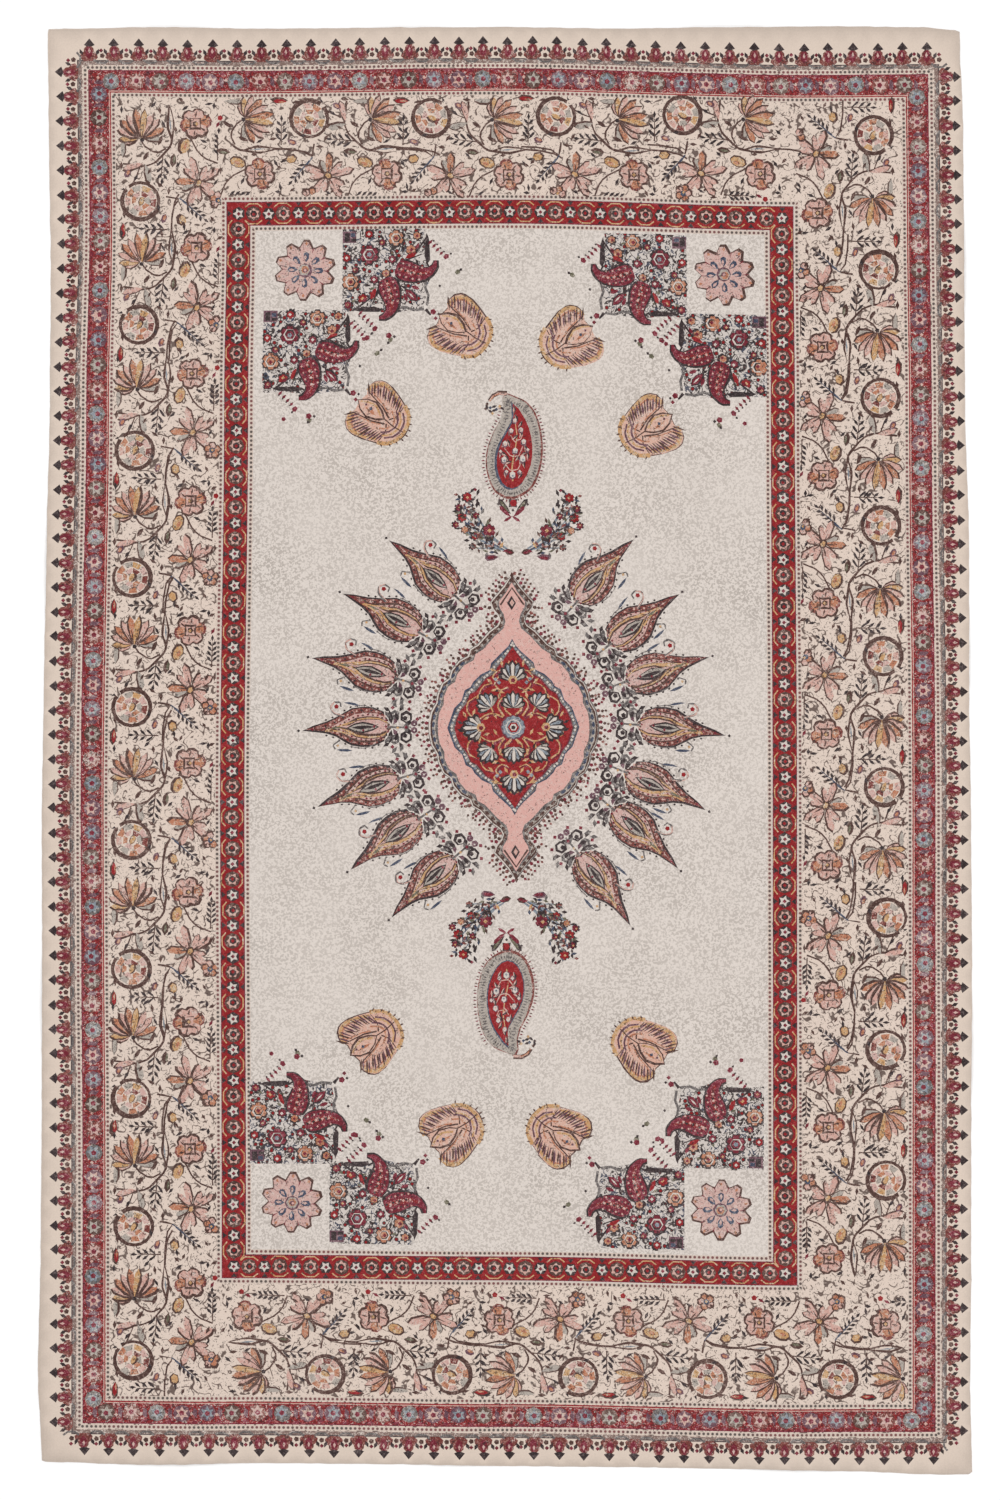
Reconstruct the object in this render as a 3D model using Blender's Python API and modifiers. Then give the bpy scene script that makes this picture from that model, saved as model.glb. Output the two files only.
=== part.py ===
"""A block printed cotton cover, lying face up and almost flat on the surface that it rests on.

The cloth is one piece: a thin sheet with a cut outline that wanders a few millimetres, as
hand-torn cotton does, and with low, soft ripples where it doesn't lie quite flat.
The origin is on the resting surface, under the middle of the sheet. X is across the cloth,
+Y points to the edge that is the upper one when the cloth is looked at, and Z is up.
"""

import math

import bpy

# Driving sizes, in metres
CLOTH_WIDTH = 1.401
CLOTH_LENGTH = 2.172
CLOTH_THICKNESS = 0.0012
CELLS_ACROSS = 28
CELLS_ALONG = 44

# How far each long edge lies inside the widest line, in metres.
# Columns: share of the length from the lower edge, inset of the left edge, inset of the right edge
LONG_EDGES = (
    (0.00, 0.0060, 0.0000),
    (0.06, 0.0000, 0.0030),
    (0.15, 0.0045, 0.0015),
    (0.25, 0.0060, 0.0015),
    (0.35, 0.0065, 0.0000),
    (0.45, 0.0060, 0.0015),
    (0.54, 0.0090, 0.0045),
    (0.64, 0.0135, 0.0045),
    (0.74, 0.0180, 0.0105),
    (0.83, 0.0195, 0.0120),
    (0.93, 0.0165, 0.0135),
    (1.00, 0.0150, 0.0190),
)

# How far each short edge lies inside the longest line, in metres.
# Columns: share of the width from the left edge, inset of the lower edge, inset of the upper edge
SHORT_EDGES = (
    (0.00, 0.0195, 0.0040),
    (0.11, 0.0150, 0.0015),
    (0.24, 0.0175, 0.0035),
    (0.37, 0.0160, 0.0020),
    (0.50, 0.0130, 0.0010),
    (0.62, 0.0115, 0.0035),
    (0.75, 0.0085, 0.0015),
    (0.88, 0.0050, 0.0000),
    (0.96, 0.0000, 0.0015),
    (1.00, 0.0010, 0.0065),
)

# Low ripples that lift the cloth off the surface.
# Columns: X and Y of the middle, heading of the ridge in degrees from X, length, width, height, all in metres
RIPPLES = (
    (-0.52, 1.00, 78.0, 0.42, 0.20, 0.0030),
    (-0.14, 1.02, 96.0, 0.36, 0.18, 0.0022),
    (0.33, 1.01, 84.0, 0.40, 0.22, 0.0032),
    (0.66, 0.72, 8.0, 0.36, 0.20, 0.0030),
    (0.65, 0.14, -6.0, 0.34, 0.18, 0.0024),
    (0.63, -0.46, 12.0, 0.44, 0.22, 0.0034),
    (0.42, -1.02, 98.0, 0.38, 0.20, 0.0030),
    (-0.08, -1.03, 86.0, 0.34, 0.18, 0.0020),
    (-0.47, -1.00, 70.0, 0.44, 0.22, 0.0034),
    (-0.66, -0.38, -4.0, 0.36, 0.20, 0.0026),
    (-0.65, 0.28, 10.0, 0.40, 0.20, 0.0032),
    (0.22, 0.46, 38.0, 0.46, 0.22, 0.0018),
    (-0.24, -0.52, 32.0, 0.50, 0.24, 0.0020),
)

COTTON_COLOUR = (0.66, 0.56, 0.50, 1.0)
COTTON_ROUGHNESS = 0.92


def eased_between(table, share, column):
    """The table's value at a share from 0 to 1, with a soft curve between its rows."""
    for low, high in zip(table, table[1:]):
        if share <= high[0]:
            step = (share - low[0]) / (high[0] - low[0])
            soft = step * step * (3.0 - 2.0 * step)
            return low[column] + (high[column] - low[column]) * soft
    return table[-1][column]


def place_on_outline(across, along):
    """X and Y of the point at these shares of the width and length, with the edges' insets faded in."""
    left = eased_between(LONG_EDGES, along, 1)
    right = eased_between(LONG_EDGES, along, 2)
    lower = eased_between(SHORT_EDGES, across, 1)
    upper = eased_between(SHORT_EDGES, across, 2)
    x = (across - 0.5) * CLOTH_WIDTH + left * (1.0 - across) - right * across
    y = (along - 0.5) * CLOTH_LENGTH + lower * (1.0 - along) - upper * along
    return x, y


def ripple_height(x, y):
    """How high the ripples lift the cloth's underside at X, Y: each is a soft, tapered ridge."""
    height = 0.0
    for middle_x, middle_y, heading, length, width, rise in RIPPLES:
        angle = math.radians(heading)
        dx = x - middle_x
        dy = y - middle_y
        lengthways = (dx * math.cos(angle) + dy * math.sin(angle)) / (length / 2)
        crossways = (dy * math.cos(angle) - dx * math.sin(angle)) / (width / 2)
        reach = math.hypot(lengthways, crossways)
        if reach < 1.0:
            height += rise * math.cos(reach * math.pi / 2) ** 2
    return height


def clear_scene():
    for old in list(bpy.data.objects):
        bpy.data.objects.remove(old)


def cotton_material():
    material = bpy.data.materials.new("printed_cotton")
    material.use_nodes = True
    surface = material.node_tree.nodes["Principled BSDF"]
    surface.inputs["Base Color"].default_value = COTTON_COLOUR
    surface.inputs["Roughness"].default_value = COTTON_ROUGHNESS
    surface.inputs["Metallic"].default_value = 0.0
    return material


def centre_over_origin(mesh):
    """Moves the sheet so that the middle of its box is over the origin."""
    for axis in (0, 1):
        places = [v.co[axis] for v in mesh.vertices]
        middle = (min(places) + max(places)) / 2
        for v in mesh.vertices:
            v.co[axis] -= middle


def printed_cloth(collection):
    """The sheet: a grid shaped to the outline and ripples, given its thickness upwards."""
    bpy.ops.mesh.primitive_grid_add(x_subdivisions=CELLS_ACROSS, y_subdivisions=CELLS_ALONG, size=1.0)
    cloth = bpy.context.active_object
    cloth.name = "printed_cloth"
    for v in cloth.data.vertices:
        x, y = place_on_outline(v.co.x + 0.5, v.co.y + 0.5)
        v.co = (x, y, ripple_height(x, y))
    centre_over_origin(cloth.data)
    cloth.data.shade_smooth()
    cloth.data.materials.append(cotton_material())

    thickness = cloth.modifiers.new("thickness", "SOLIDIFY")
    thickness.thickness = CLOTH_THICKNESS
    thickness.offset = 1.0

    for holder in list(cloth.users_collection):
        holder.objects.unlink(cloth)
    collection.objects.link(cloth)
    return cloth


def main():
    clear_scene()
    collection = bpy.data.collections.new("block_printed_textile")
    bpy.context.scene.collection.children.link(collection)
    printed_cloth(collection)


main()
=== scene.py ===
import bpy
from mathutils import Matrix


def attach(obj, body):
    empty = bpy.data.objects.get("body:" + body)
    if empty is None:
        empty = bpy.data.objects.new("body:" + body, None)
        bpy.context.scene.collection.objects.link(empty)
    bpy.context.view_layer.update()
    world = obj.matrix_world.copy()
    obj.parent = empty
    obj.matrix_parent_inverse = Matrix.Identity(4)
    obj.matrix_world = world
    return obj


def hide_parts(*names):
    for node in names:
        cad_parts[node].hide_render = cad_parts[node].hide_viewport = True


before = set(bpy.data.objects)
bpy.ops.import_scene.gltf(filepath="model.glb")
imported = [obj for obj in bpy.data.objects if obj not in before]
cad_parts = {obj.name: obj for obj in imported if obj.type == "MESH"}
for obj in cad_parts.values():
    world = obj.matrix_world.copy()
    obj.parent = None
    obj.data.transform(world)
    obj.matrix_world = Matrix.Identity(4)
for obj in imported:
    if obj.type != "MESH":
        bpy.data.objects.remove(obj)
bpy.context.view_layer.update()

import math
import random

import bmesh
import bpy
from mathutils import Vector, noise
from mathutils.bvhtree import BVHTree
from mathutils.geometry import delaunay_2d_cdt

bl_info = {
    "name": "Block printed cloth",
    "version": (1, 0, 0),
    "blender": (4, 2, 0),
    "location": "3D View > Sidebar > Cloth",
    "description": "Lays a cotton cloth and prints it with carved blocks",
    "category": "Object",
}

# The printer sets the cloth out on a layout that is measured from its upper left corner,
# x to the right and y down. One unit of it is 1.5 mm.
UNIT = 0.0015
LAYOUT_MIDDLE = (505.0, 750.5)
CLOTH_THICKNESS = 0.0012

# The hand-set lines wander. Rows: y, how far the left side moves, how far the right side moves
SIDE_WANDER = (
    (30, 0.0, 0.0),
    (230, 1.5, 1.5),
    (400, -2.0, 4.0),
    (800, -8.0, 8.0),
    (1200, -6.0, 8.0),
    (1460, -6.0, 8.0),
)
# Rows: x, how far the top moves down, how far the bottom moves down
END_WANDER = (
    (50, 0.0, -1.0),
    (225, 1.0, 0.0),
    (500, -2.0, 3.0),
    (791, 5.0, 8.0),
    (960, 4.0, 8.0),
)

# Bands of the print as boxes on the layout: left, top, right, bottom
EDGING_OUTSIDE = (77, 60, 939, 1435)
EDGING_INSIDE = (82, 65, 934, 1430)
OUTER_GUARD_OUTSIDE = (83, 66, 933, 1429)
OUTER_GUARD_INSIDE = (87, 69, 929, 1425)
OUTER_RED_OUTSIDE = (88, 70, 928, 1424)
OUTER_RED_INSIDE = (110, 92, 906, 1401)
SECOND_GUARD_OUTSIDE = (111, 93, 905, 1400)
SECOND_GUARD_INSIDE = (115, 97, 901, 1396)
THIRD_GUARD_OUTSIDE = (220, 196, 797, 1283)
THIRD_GUARD_INSIDE = (224, 200, 793, 1279)
INNER_RED_OUTSIDE = (225, 201, 792, 1278)
INNER_RED_INSIDE = (249, 225, 768, 1254)
FIELD_GUARD_OUTSIDE = (250, 226, 767, 1253)
FIELD_GUARD_INSIDE = (254, 230, 763, 1249)

# Low ripples, as on the frame. Rows: X and Y of the middle, heading in degrees, length, width, height in metres
RIPPLES = (
    (-0.52, 1.00, 78.0, 0.42, 0.20, 0.0030),
    (-0.14, 1.02, 96.0, 0.36, 0.18, 0.0022),
    (0.33, 1.01, 84.0, 0.40, 0.22, 0.0032),
    (0.66, 0.72, 8.0, 0.36, 0.20, 0.0030),
    (0.65, 0.14, -6.0, 0.34, 0.18, 0.0024),
    (0.63, -0.46, 12.0, 0.44, 0.22, 0.0034),
    (0.42, -1.02, 98.0, 0.38, 0.20, 0.0030),
    (-0.08, -1.03, 86.0, 0.34, 0.18, 0.0020),
    (-0.47, -1.00, 70.0, 0.44, 0.22, 0.0034),
    (-0.66, -0.38, -4.0, 0.36, 0.20, 0.0026),
    (-0.65, 0.28, 10.0, 0.40, 0.20, 0.0032),
    (0.22, 0.46, 38.0, 0.46, 0.22, 0.0018),
    (-0.24, -0.52, 32.0, 0.50, 0.24, 0.0020),
)

# Inks and cottons: name, sRGB colour, how much wear thins it, how much fine dark overprint it carries, what it is
INKS = (
    ("washed_cotton", "D3C2B4", 0.0, 0.0, "bare washed cotton of the margin"),
    ("border_cotton", "D6C4B7", 0.0, 0.34, "bare cotton under the flowering border"),
    ("strewn_cotton", "C8BEB7", 0.0, 0.0, "cotton of the corner pieces, strewn with specks"),
    ("field_cotton", "D5CBC3", 0.0, 0.0, "cotton of the field, with its fine stipple"),
    ("dotted_guard", "C9B8AC", 0.0, 0.0, "cotton of the guard lines, with their dots"),
    ("spared_cotton", "CBC0B7", 0.1, 0.16, "light cotton left free inside the inks"),
    ("madder_red", "82171A", 0.20, 0.26, "alum and madder red"),
    ("worn_red", "7D1E20", 0.56, 0.90, "madder red of the outer band, worn and printed over"),
    ("crimson", "641A25", 0.30, 0.30, "deep crimson, madder over thin iron"),
    ("iron_black", "2B2223", 0.24, 0.0, "iron black"),
    ("thin_black", "5A5453", 0.36, 0.45, "iron black printed thin, a warm grey"),
    ("grey_blue", "737D88", 0.34, 0.40, "pale indigo"),
    ("indigo", "343A4C", 0.30, 0.0, "deep indigo"),
    ("ochre", "BC8D5E", 0.40, 0.52, "pomegranate rind yellow"),
    ("orange", "AE6C50", 0.40, 0.56, "yellow over thin madder"),
    ("pale_pink", "C5978B", 0.40, 0.46, "thin madder pink"),
    ("soft_pink", "D09E95", 0.22, 0.14, "thin madder pink of the large flat parts"),
    ("peach", "CEA08E", 0.34, 0.34, "thin yellow over thin pink"),
    ("dusty_pink", "C39A92", 0.34, 0.40, "thin madder pink, finely hatched"),
    ("rust", "6C332E", 0.44, 0.60, "madder over thin iron, worn"),
    ("plum", "563741", 0.30, 0.20, "madder over thin indigo"),
    ("stone_grey", "A0968D", 0.24, 0.50, "iron black printed very thin and finely hatched"),
    ("olive", "555140", 0.34, 0.0, "yellow over thin iron"),
    ("brown", "422C27", 0.28, 0.0, "iron and madder brown"),
    ("reverse_cotton", "C6B4A6", 0.0, 0.0, "the cloth's reverse and its cut edge"),
)
INK_NUMBER = {ink[0]: number for number, ink in enumerate(INKS)}


def linear_from_hex(text):
    """Linear red, green and blue of an sRGB hex value."""
    parts = [int(text[i:i + 2], 16) / 255 for i in (0, 2, 4)]
    return [part / 12.92 if part <= 0.04045 else ((part + 0.055) / 1.055) ** 2.4 for part in parts]


def eased_between(table, place, column):
    """A table's value at a place in its first column, with a soft curve between its rows."""
    if place <= table[0][0]:
        return table[0][column]
    for low, high in zip(table, table[1:]):
        if place <= high[0]:
            step = (place - low[0]) / (high[0] - low[0])
            soft = step * step * (3.0 - 2.0 * step)
            return low[column] + (high[column] - low[column]) * soft
    return table[-1][column]


def wander(x, y):
    """Where a point of the ideal layout really lands on the cloth, in layout units."""
    across = (x - 50.0) / 910.0
    down = (y - 28.0) / 1436.0
    left, right = eased_between(SIDE_WANDER, y, 1), eased_between(SIDE_WANDER, y, 2)
    top, bottom = eased_between(END_WANDER, x, 1), eased_between(END_WANDER, x, 2)
    return x + left + (right - left) * across, y + top + (bottom - top) * down


def unwander(x, y):
    """The point of the ideal layout that lands at x, y."""
    ideal_x, ideal_y = x, y
    for _ in range(5):
        there_x, there_y = wander(ideal_x, ideal_y)
        ideal_x += x - there_x
        ideal_y += y - there_y
    return ideal_x, ideal_y


def ripple_height(x, y):
    """Height of the cloth's underside at X, Y in metres."""
    height = 0.0
    for middle_x, middle_y, heading, length, width, rise in RIPPLES:
        angle = math.radians(heading)
        dx, dy = x - middle_x, y - middle_y
        lengthways = (dx * math.cos(angle) + dy * math.sin(angle)) / (length / 2)
        crossways = (dy * math.cos(angle) - dx * math.sin(angle)) / (width / 2)
        reach = math.hypot(lengthways, crossways)
        if reach < 1.0:
            height += rise * math.cos(reach * math.pi / 2) ** 2
    return height


# Shapes of single marks: each is a list of (x, y) in a block's own units, y up


def oval(radius, at=(0, 0), narrow=1.0, lean=0.0):
    """A round or oval mark: narrow squeezes it across its length, which leans by that angle."""
    turn = math.radians(lean)
    sides = next(count for count, limit in ((4, 2.3), (5, 3.6), (6, 6.9), (8, 10.0), (12, 99.0)) if radius < limit)
    outline = []
    for i in range(sides):
        angle = 2 * math.pi * i / sides
        x, y = radius * math.cos(angle), radius * narrow * math.sin(angle)
        outline.append((at[0] + x * math.cos(turn) - y * math.sin(turn), at[1] + x * math.sin(turn) + y * math.cos(turn)))
    return outline


def rosette(lobes, outer, inner, at=(0, 0), start=90.0, blunt=0.0):
    """A flower outline. blunt from 0 to 1 widens the lobes' ends with a second point each."""
    outline = []
    for i in range(lobes):
        middle = math.radians(start + 360.0 * i / lobes)
        half = math.pi / lobes
        spread = half * 0.5 * blunt
        angles = ((middle - spread, outer), (middle + spread, outer)) if blunt else ((middle, outer),)
        for angle, radius in (*angles, (middle + half, inner)):
            outline.append((at[0] + radius * math.cos(angle), at[1] + radius * math.sin(angle)))
    return outline


def leaf(length, width, at=(0, 0), heading=90.0, belly=0.5, bend=0.0):
    """A pointed leaf or petal from its foot towards a heading, widest at belly's share of its length."""
    if length < 9 or width < 2:
        swell = ((belly, 1.0),)
    elif length < 28 or width < 7:
        swell = ((belly * 0.6, 0.8), (belly * 1.4, 0.85))
    else:
        swell = ((belly * 0.4, 0.6), (belly, 1.0), (belly + (1 - belly) * 0.55, 0.7))
    right = [(share * length, -width / 2 * full) for share, full in swell]
    left = [(share * length, width / 2 * full) for share, full in reversed(swell)]
    turn = math.radians(heading)
    outline = []
    for along, across in [(0.0, 0.0), *right, (length, 0.0), *left]:
        across += bend * (along / length) ** 2 * length
        outline.append((at[0] + along * math.cos(turn) - across * math.sin(turn),
                        at[1] + along * math.sin(turn) + across * math.cos(turn)))
    return outline


def smooth(points, steps=3, closed=False):
    """A soft curve through the points."""
    count = len(points)
    spans = count if closed else count - 1
    curve = []
    for i in range(spans):
        if closed:
            a, b, c, d = (points[(i + k) % count] for k in (-1, 0, 1, 2))
        else:
            a, b, c, d = (points[min(max(i + k, 0), count - 1)] for k in (-1, 0, 1, 2))
        for step in range(steps):
            t = step / steps
            curve.append(tuple(
                0.5 * (2 * b[k] + (c[k] - a[k]) * t + (2 * a[k] - 5 * b[k] + 4 * c[k] - d[k]) * t * t
                       + (3 * b[k] - a[k] - 3 * c[k] + d[k]) * t ** 3) for k in range(len(b))))
    if not closed:
        curve.append(tuple(points[-1]))
    return curve


def stroke(path, width, end_width=None):
    """A line of ink along a path, which can taper to its end."""
    end_width = width if end_width is None else end_width
    left, right = [], []
    last = len(path) - 1
    for i, (x, y) in enumerate(path):
        before, after = path[max(i - 1, 0)], path[min(i + 1, last)]
        dx, dy = after[0] - before[0], after[1] - before[1]
        size = math.hypot(dx, dy) or 1.0
        half = (width + (end_width - width) * i / last) / 2
        left.append((x - dy / size * half, y + dx / size * half))
        right.append((x + dy / size * half, y - dx / size * half))
    return left + right[::-1]


def swelling(path, more=0.0, share=1.0):
    """A body along a path of (x, y, width) points, such as a comma-shaped leaf."""
    line = [(x, y) for x, y, _ in path]
    left, right = [], []
    for i, (_, _, width) in enumerate(path):
        half = max(width * share + more, 0.3) / 2
        left.append(shifted(line, half)[i])
        right.append(shifted(line, -half)[i])
    return left + right[::-1]


def stations(path, spacing, start=0.0, closed=False):
    """Even places along a path: x, y and the heading of the path there in radians."""
    places = []
    wanted = start
    travelled = 0.0
    ends = [*path, path[0]] if closed else path
    for (x0, y0), (x1, y1) in zip(ends, ends[1:]):
        size = math.hypot(x1 - x0, y1 - y0)
        while size > 0 and wanted <= travelled + size:
            share = (wanted - travelled) / size
            places.append((x0 + (x1 - x0) * share, y0 + (y1 - y0) * share, math.atan2(y1 - y0, x1 - x0)))
            wanted += spacing
        travelled += size
    return places


def shifted(path, distance):
    """A path moved sideways, to the left of its heading for a positive distance."""
    moved = []
    last = len(path) - 1
    for i, (x, y) in enumerate(path):
        before, after = path[max(i - 1, 0)], path[min(i + 1, last)]
        dx, dy = after[0] - before[0], after[1] - before[1]
        size = math.hypot(dx, dy) or 1.0
        moved.append((x - dy / size * distance, y + dx / size * distance))
    return moved


def mirrored(outline):
    return [(-x, y) for x, y in outline]


def feather(foot, tip, leaflets, ink, size=7.0, stem_ink="brown"):
    """A sprig: a thin stem with paired leaflets and one at its tip."""
    dx, dy = tip[0] - foot[0], tip[1] - foot[1]
    heading = math.degrees(math.atan2(dy, dx))
    marks = [(stem_ink, stroke([foot, tip], 1.3, 0.7))]
    for i in range(leaflets):
        share = 0.2 + 0.62 * i / max(leaflets - 1, 1)
        place = (foot[0] + dx * share, foot[1] + dy * share)
        for side in (-1, 1):
            marks.append((ink, leaf(size * (1.2 - 0.35 * share), 3.0, place, heading + side * 40, 0.55)))
    marks.append((ink, leaf(size * 0.9, 3.0, tip, heading)))
    return marks


# Carved blocks: each returns its marks of ink, in the order of printing


def finial_block():
    """One trefoil of the edging, standing on the band at y = 0."""
    body = [(-5.0, -1), (-9.0, 2.2), (-8.0, 6.4), (-5.0, 8.4), (-4.8, 11.4), (0, 16.4), (4.8, 11.4), (5.0, 8.4), (8.0, 6.4), (9.0, 2.2), (5.0, -1)]
    marks = [("rust", body), ("crimson", leaf(14.4, 8.0, (0, 1.0), 90, 0.4))]
    for side in (-1, 1):
        marks += [
            ("iron_black", leaf(7.4, 3.8, (side * 6.6, 4.6), 90 - side * 24)),
        ]
    marks += [
        ("dusty_pink", leaf(5.4, 2.8, (0, 6.4), 90, 0.4)),
        ("iron_black", [(-1.4, 13.4), (-5.4, 15.0), (-3.0, 17.8), (0, 21.6), (3.0, 17.8), (5.4, 15.0), (1.4, 13.4)]),
        ("brown", oval(2.7, (12.2, 4.2))),
        ("crimson", oval(2.2, (12.2, 9.4))),
        ("thin_black", stroke([(4.4, 0.4), (8.8, -3.0), (15.6, -3.0), (20.0, 0.4)], 2.2)),
    ]
    return marks


def outer_band_block(petals, rim):
    """One repeat of the outer red band: a rosette and a pair of leaves."""
    marks = [(rim, oval(8.6)), (petals, rosette(6, 7.2, 3.8)), ("crimson", oval(2.8))]
    for side in (-1, 1):
        marks.append(("plum", leaf(8.9, 4.4, (11.6 + side * 1.4, -5.6 * side), 90 * side + 22)))
    marks += [
        ("crimson", leaf(7.4, 3.2, (8.4, 7.8), 10)),
        ("pale_pink", oval(1.9, (15.4, 1.6))),
    ]
    return marks


def inner_band_block():
    """One repeat of the inner red band: a dark-ringed flower in its frame, and a light flower."""
    marks = [
        ("brown", oval(8.0)),
        ("pale_pink", rosette(6, 6.4, 4.2)),
        ("iron_black", oval(3.7)),
        ("madder_red", oval(2.0)),
    ]
    for side in (-1, 1):
        marks += [
            ("ochre", stroke([(-8.8, side * 6.6), (-4.2, side * 10.2), (4.2, side * 10.2), (8.8, side * 6.6)], 1.3)),
            ("iron_black", [(15.4, side * 6.6), (18.6, side * 11.0), (12.2, side * 11.0)]),
        ]
    marks += [
        ("iron_black", oval(6.8, (15.4, 0))),
        ("spared_cotton", rosette(5, 5.8, 3.0, (15.4, 0))),
        ("crimson", oval(2.1, (15.4, 0))),
    ]
    return marks


def petal(ink, length, width, at, heading, side=1, bend=0.0):
    """A petal with the brown shade of the outline block along one side of it."""
    turn = math.radians(heading + 90)
    foot = (at[0] + side * 0.9 * math.cos(turn), at[1] + side * 0.9 * math.sin(turn))
    return [("brown", leaf(length, width, at, heading, 0.58, bend)), (ink, leaf(length * 0.94, width - 1.7, foot, heading, 0.58, bend))]


def lotus():
    """The fan of pointed petals, opening upwards from its foot at 0, 0."""
    petals = ((-118, 15, 6.0, "pale_pink", 1), (-96, 21, 7.4, "ochre", 1), (-72, 24, 7.6, "pale_pink", 1), (-50, 27, 8.4, "orange", 1),
              (96, 20, 7.0, "stone_grey", -1), (70, 24, 8.0, "orange", -1), (46, 27, 7.6, "pale_pink", -1), (-29, 28, 8.0, "pale_pink", 1),
              (26, 29, 8.4, "pale_pink", -1), (-11, 31, 8.6, "orange", 1), (8, 31, 8.0, "ochre", -1))
    marks = []
    for lean, length, width, ink, side in petals:
        foot = (2.4 * math.sin(math.radians(lean)), 1.4)
        marks += petal(ink, length, width, foot, 90 - lean, -side, -0.07 * side if abs(lean) > 40 else 0.0)
        if abs(lean) < 60:
            marks.append(("brown", leaf(length * 0.6, 1.2, foot, 90 - lean + side * 3)))
    marks += [
        ("brown", stroke(smooth([(0, 0), (4, -6), (11.7, -11), (18, -11.6), (25, -8)], 2), 1.7)),
        ("iron_black", oval(2.4)),
    ]
    return marks


def arc_piece(middle, radius, thick, start, end):
    """A short piece of a ring, from a start to an end angle in degrees."""
    a, b = math.radians(start), math.radians(end)
    outer, inner = radius + thick / 2, radius - thick / 2
    return [(middle[0] + r * math.cos(t), middle[1] + r * math.sin(t)) for r, t in ((outer, a), (outer, b), (inner, b), (inner, a))]


def ringed_disc(middle):
    """The round fruit: a dark open ring, dashes winding inside it, and a seed."""
    mx, my = middle
    marks = [("brown", rosette(9, 20.4, 20.4, middle)), ("border_cotton", rosette(8, 16.6, 16.6, middle))]
    marks.append(("border_cotton", leaf(13, 6.4, (mx - 10.6, my + 9.6), 130)))
    rows = ((9, 13.2, 5.4, ("pale_pink", "orange", "stone_grey", "ochre", "dusty_pink", "rust")), (6, 7.6, 4.6, ("orange", "dusty_pink", "rust", "stone_grey")))
    for count, radius, thick, inks in rows:
        for i in range(count):
            start = 200 - 345 * i / count
            marks.append((inks[i % len(inks)], arc_piece(middle, radius, thick, start, start - 345 * 0.86 / count)))
    marks += petal("ochre", 10.4, 6.8, (mx - 1.2, my - 5.0), 66)
    return marks


def six_petal_flower(middle):
    mx, my = middle
    marks = []
    for i in range(6):
        angle = math.radians(60 * i + 12)
        cos, sin = math.cos(angle), math.sin(angle)
        marks.append(("brown" if i % 3 else "rust", oval(7.2, (mx + 9.8 * cos, my + 9.8 * sin), 0.92, 60 * i + 102)))
    for i in range(6):
        angle = math.radians(60 * i + 12)
        cos, sin = math.cos(angle), math.sin(angle)
        marks.append((("orange", "pale_pink", "pale_pink")[i % 3], oval(6.0, (mx + 8.8 * cos, my + 8.8 * sin), 0.88, 60 * i + 102)))
        marks.append(("brown", leaf(7.4, 1.8, (mx + 5.4 * cos - 1.6 * sin, my + 5.4 * sin + 1.6 * cos), 60 * i + 18)))
    marks += [
        ("brown", rosette(4, 8.4, 5.4, middle, 45)),
        ("pale_pink", rosette(4, 6.2, 3.8, middle, 45)),
        ("brown", oval(3.2, middle)),
        ("ochre", oval(1.9, middle)),
    ]
    return marks


def star_flower(middle):
    mx, my = middle
    marks = []
    reaches = ((98, 26, "pale_pink"), (170, 22, "orange"), (242, 24, "pale_pink"), (314, 21, "pale_pink"), (26, 25, "pale_pink"))
    for heading, length, ink in reaches:
        between = math.radians(heading + 36)
        marks += petal("stone_grey" if ink == "orange" else "pale_pink", length * 0.72, 6.8, (mx + 2 * math.cos(between), my + 2 * math.sin(between)), heading + 36, -1)
    for heading, length, ink in reaches:
        angle = math.radians(heading)
        foot = (mx + 1.6 * math.cos(angle), my + 1.6 * math.sin(angle))
        marks += petal(ink, length, 9.2, foot, heading, 1, 0.10)
        marks.append(("brown", leaf(length * 0.5, 1.7, foot, heading + 4)))
    marks += [("brown", oval(5.4, middle, 0.8, 60)), ("ochre", oval(3.4, middle, 0.75, 60))]
    return marks


def small_flower(middle):
    mx, my = middle
    marks = []
    for i in range(5):
        angle = math.radians(72 * i + 18)
        marks.append(("brown", oval(4.6, (mx + 5.0 * math.cos(angle), my + 5.0 * math.sin(angle)))))
        marks.append(("pale_pink" if i % 2 else "orange", oval(3.3, (mx + 4.6 * math.cos(angle), my + 4.6 * math.sin(angle)))))
    return marks + [("indigo", oval(3.2, middle)), ("ochre", oval(1.6, middle))]


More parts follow.
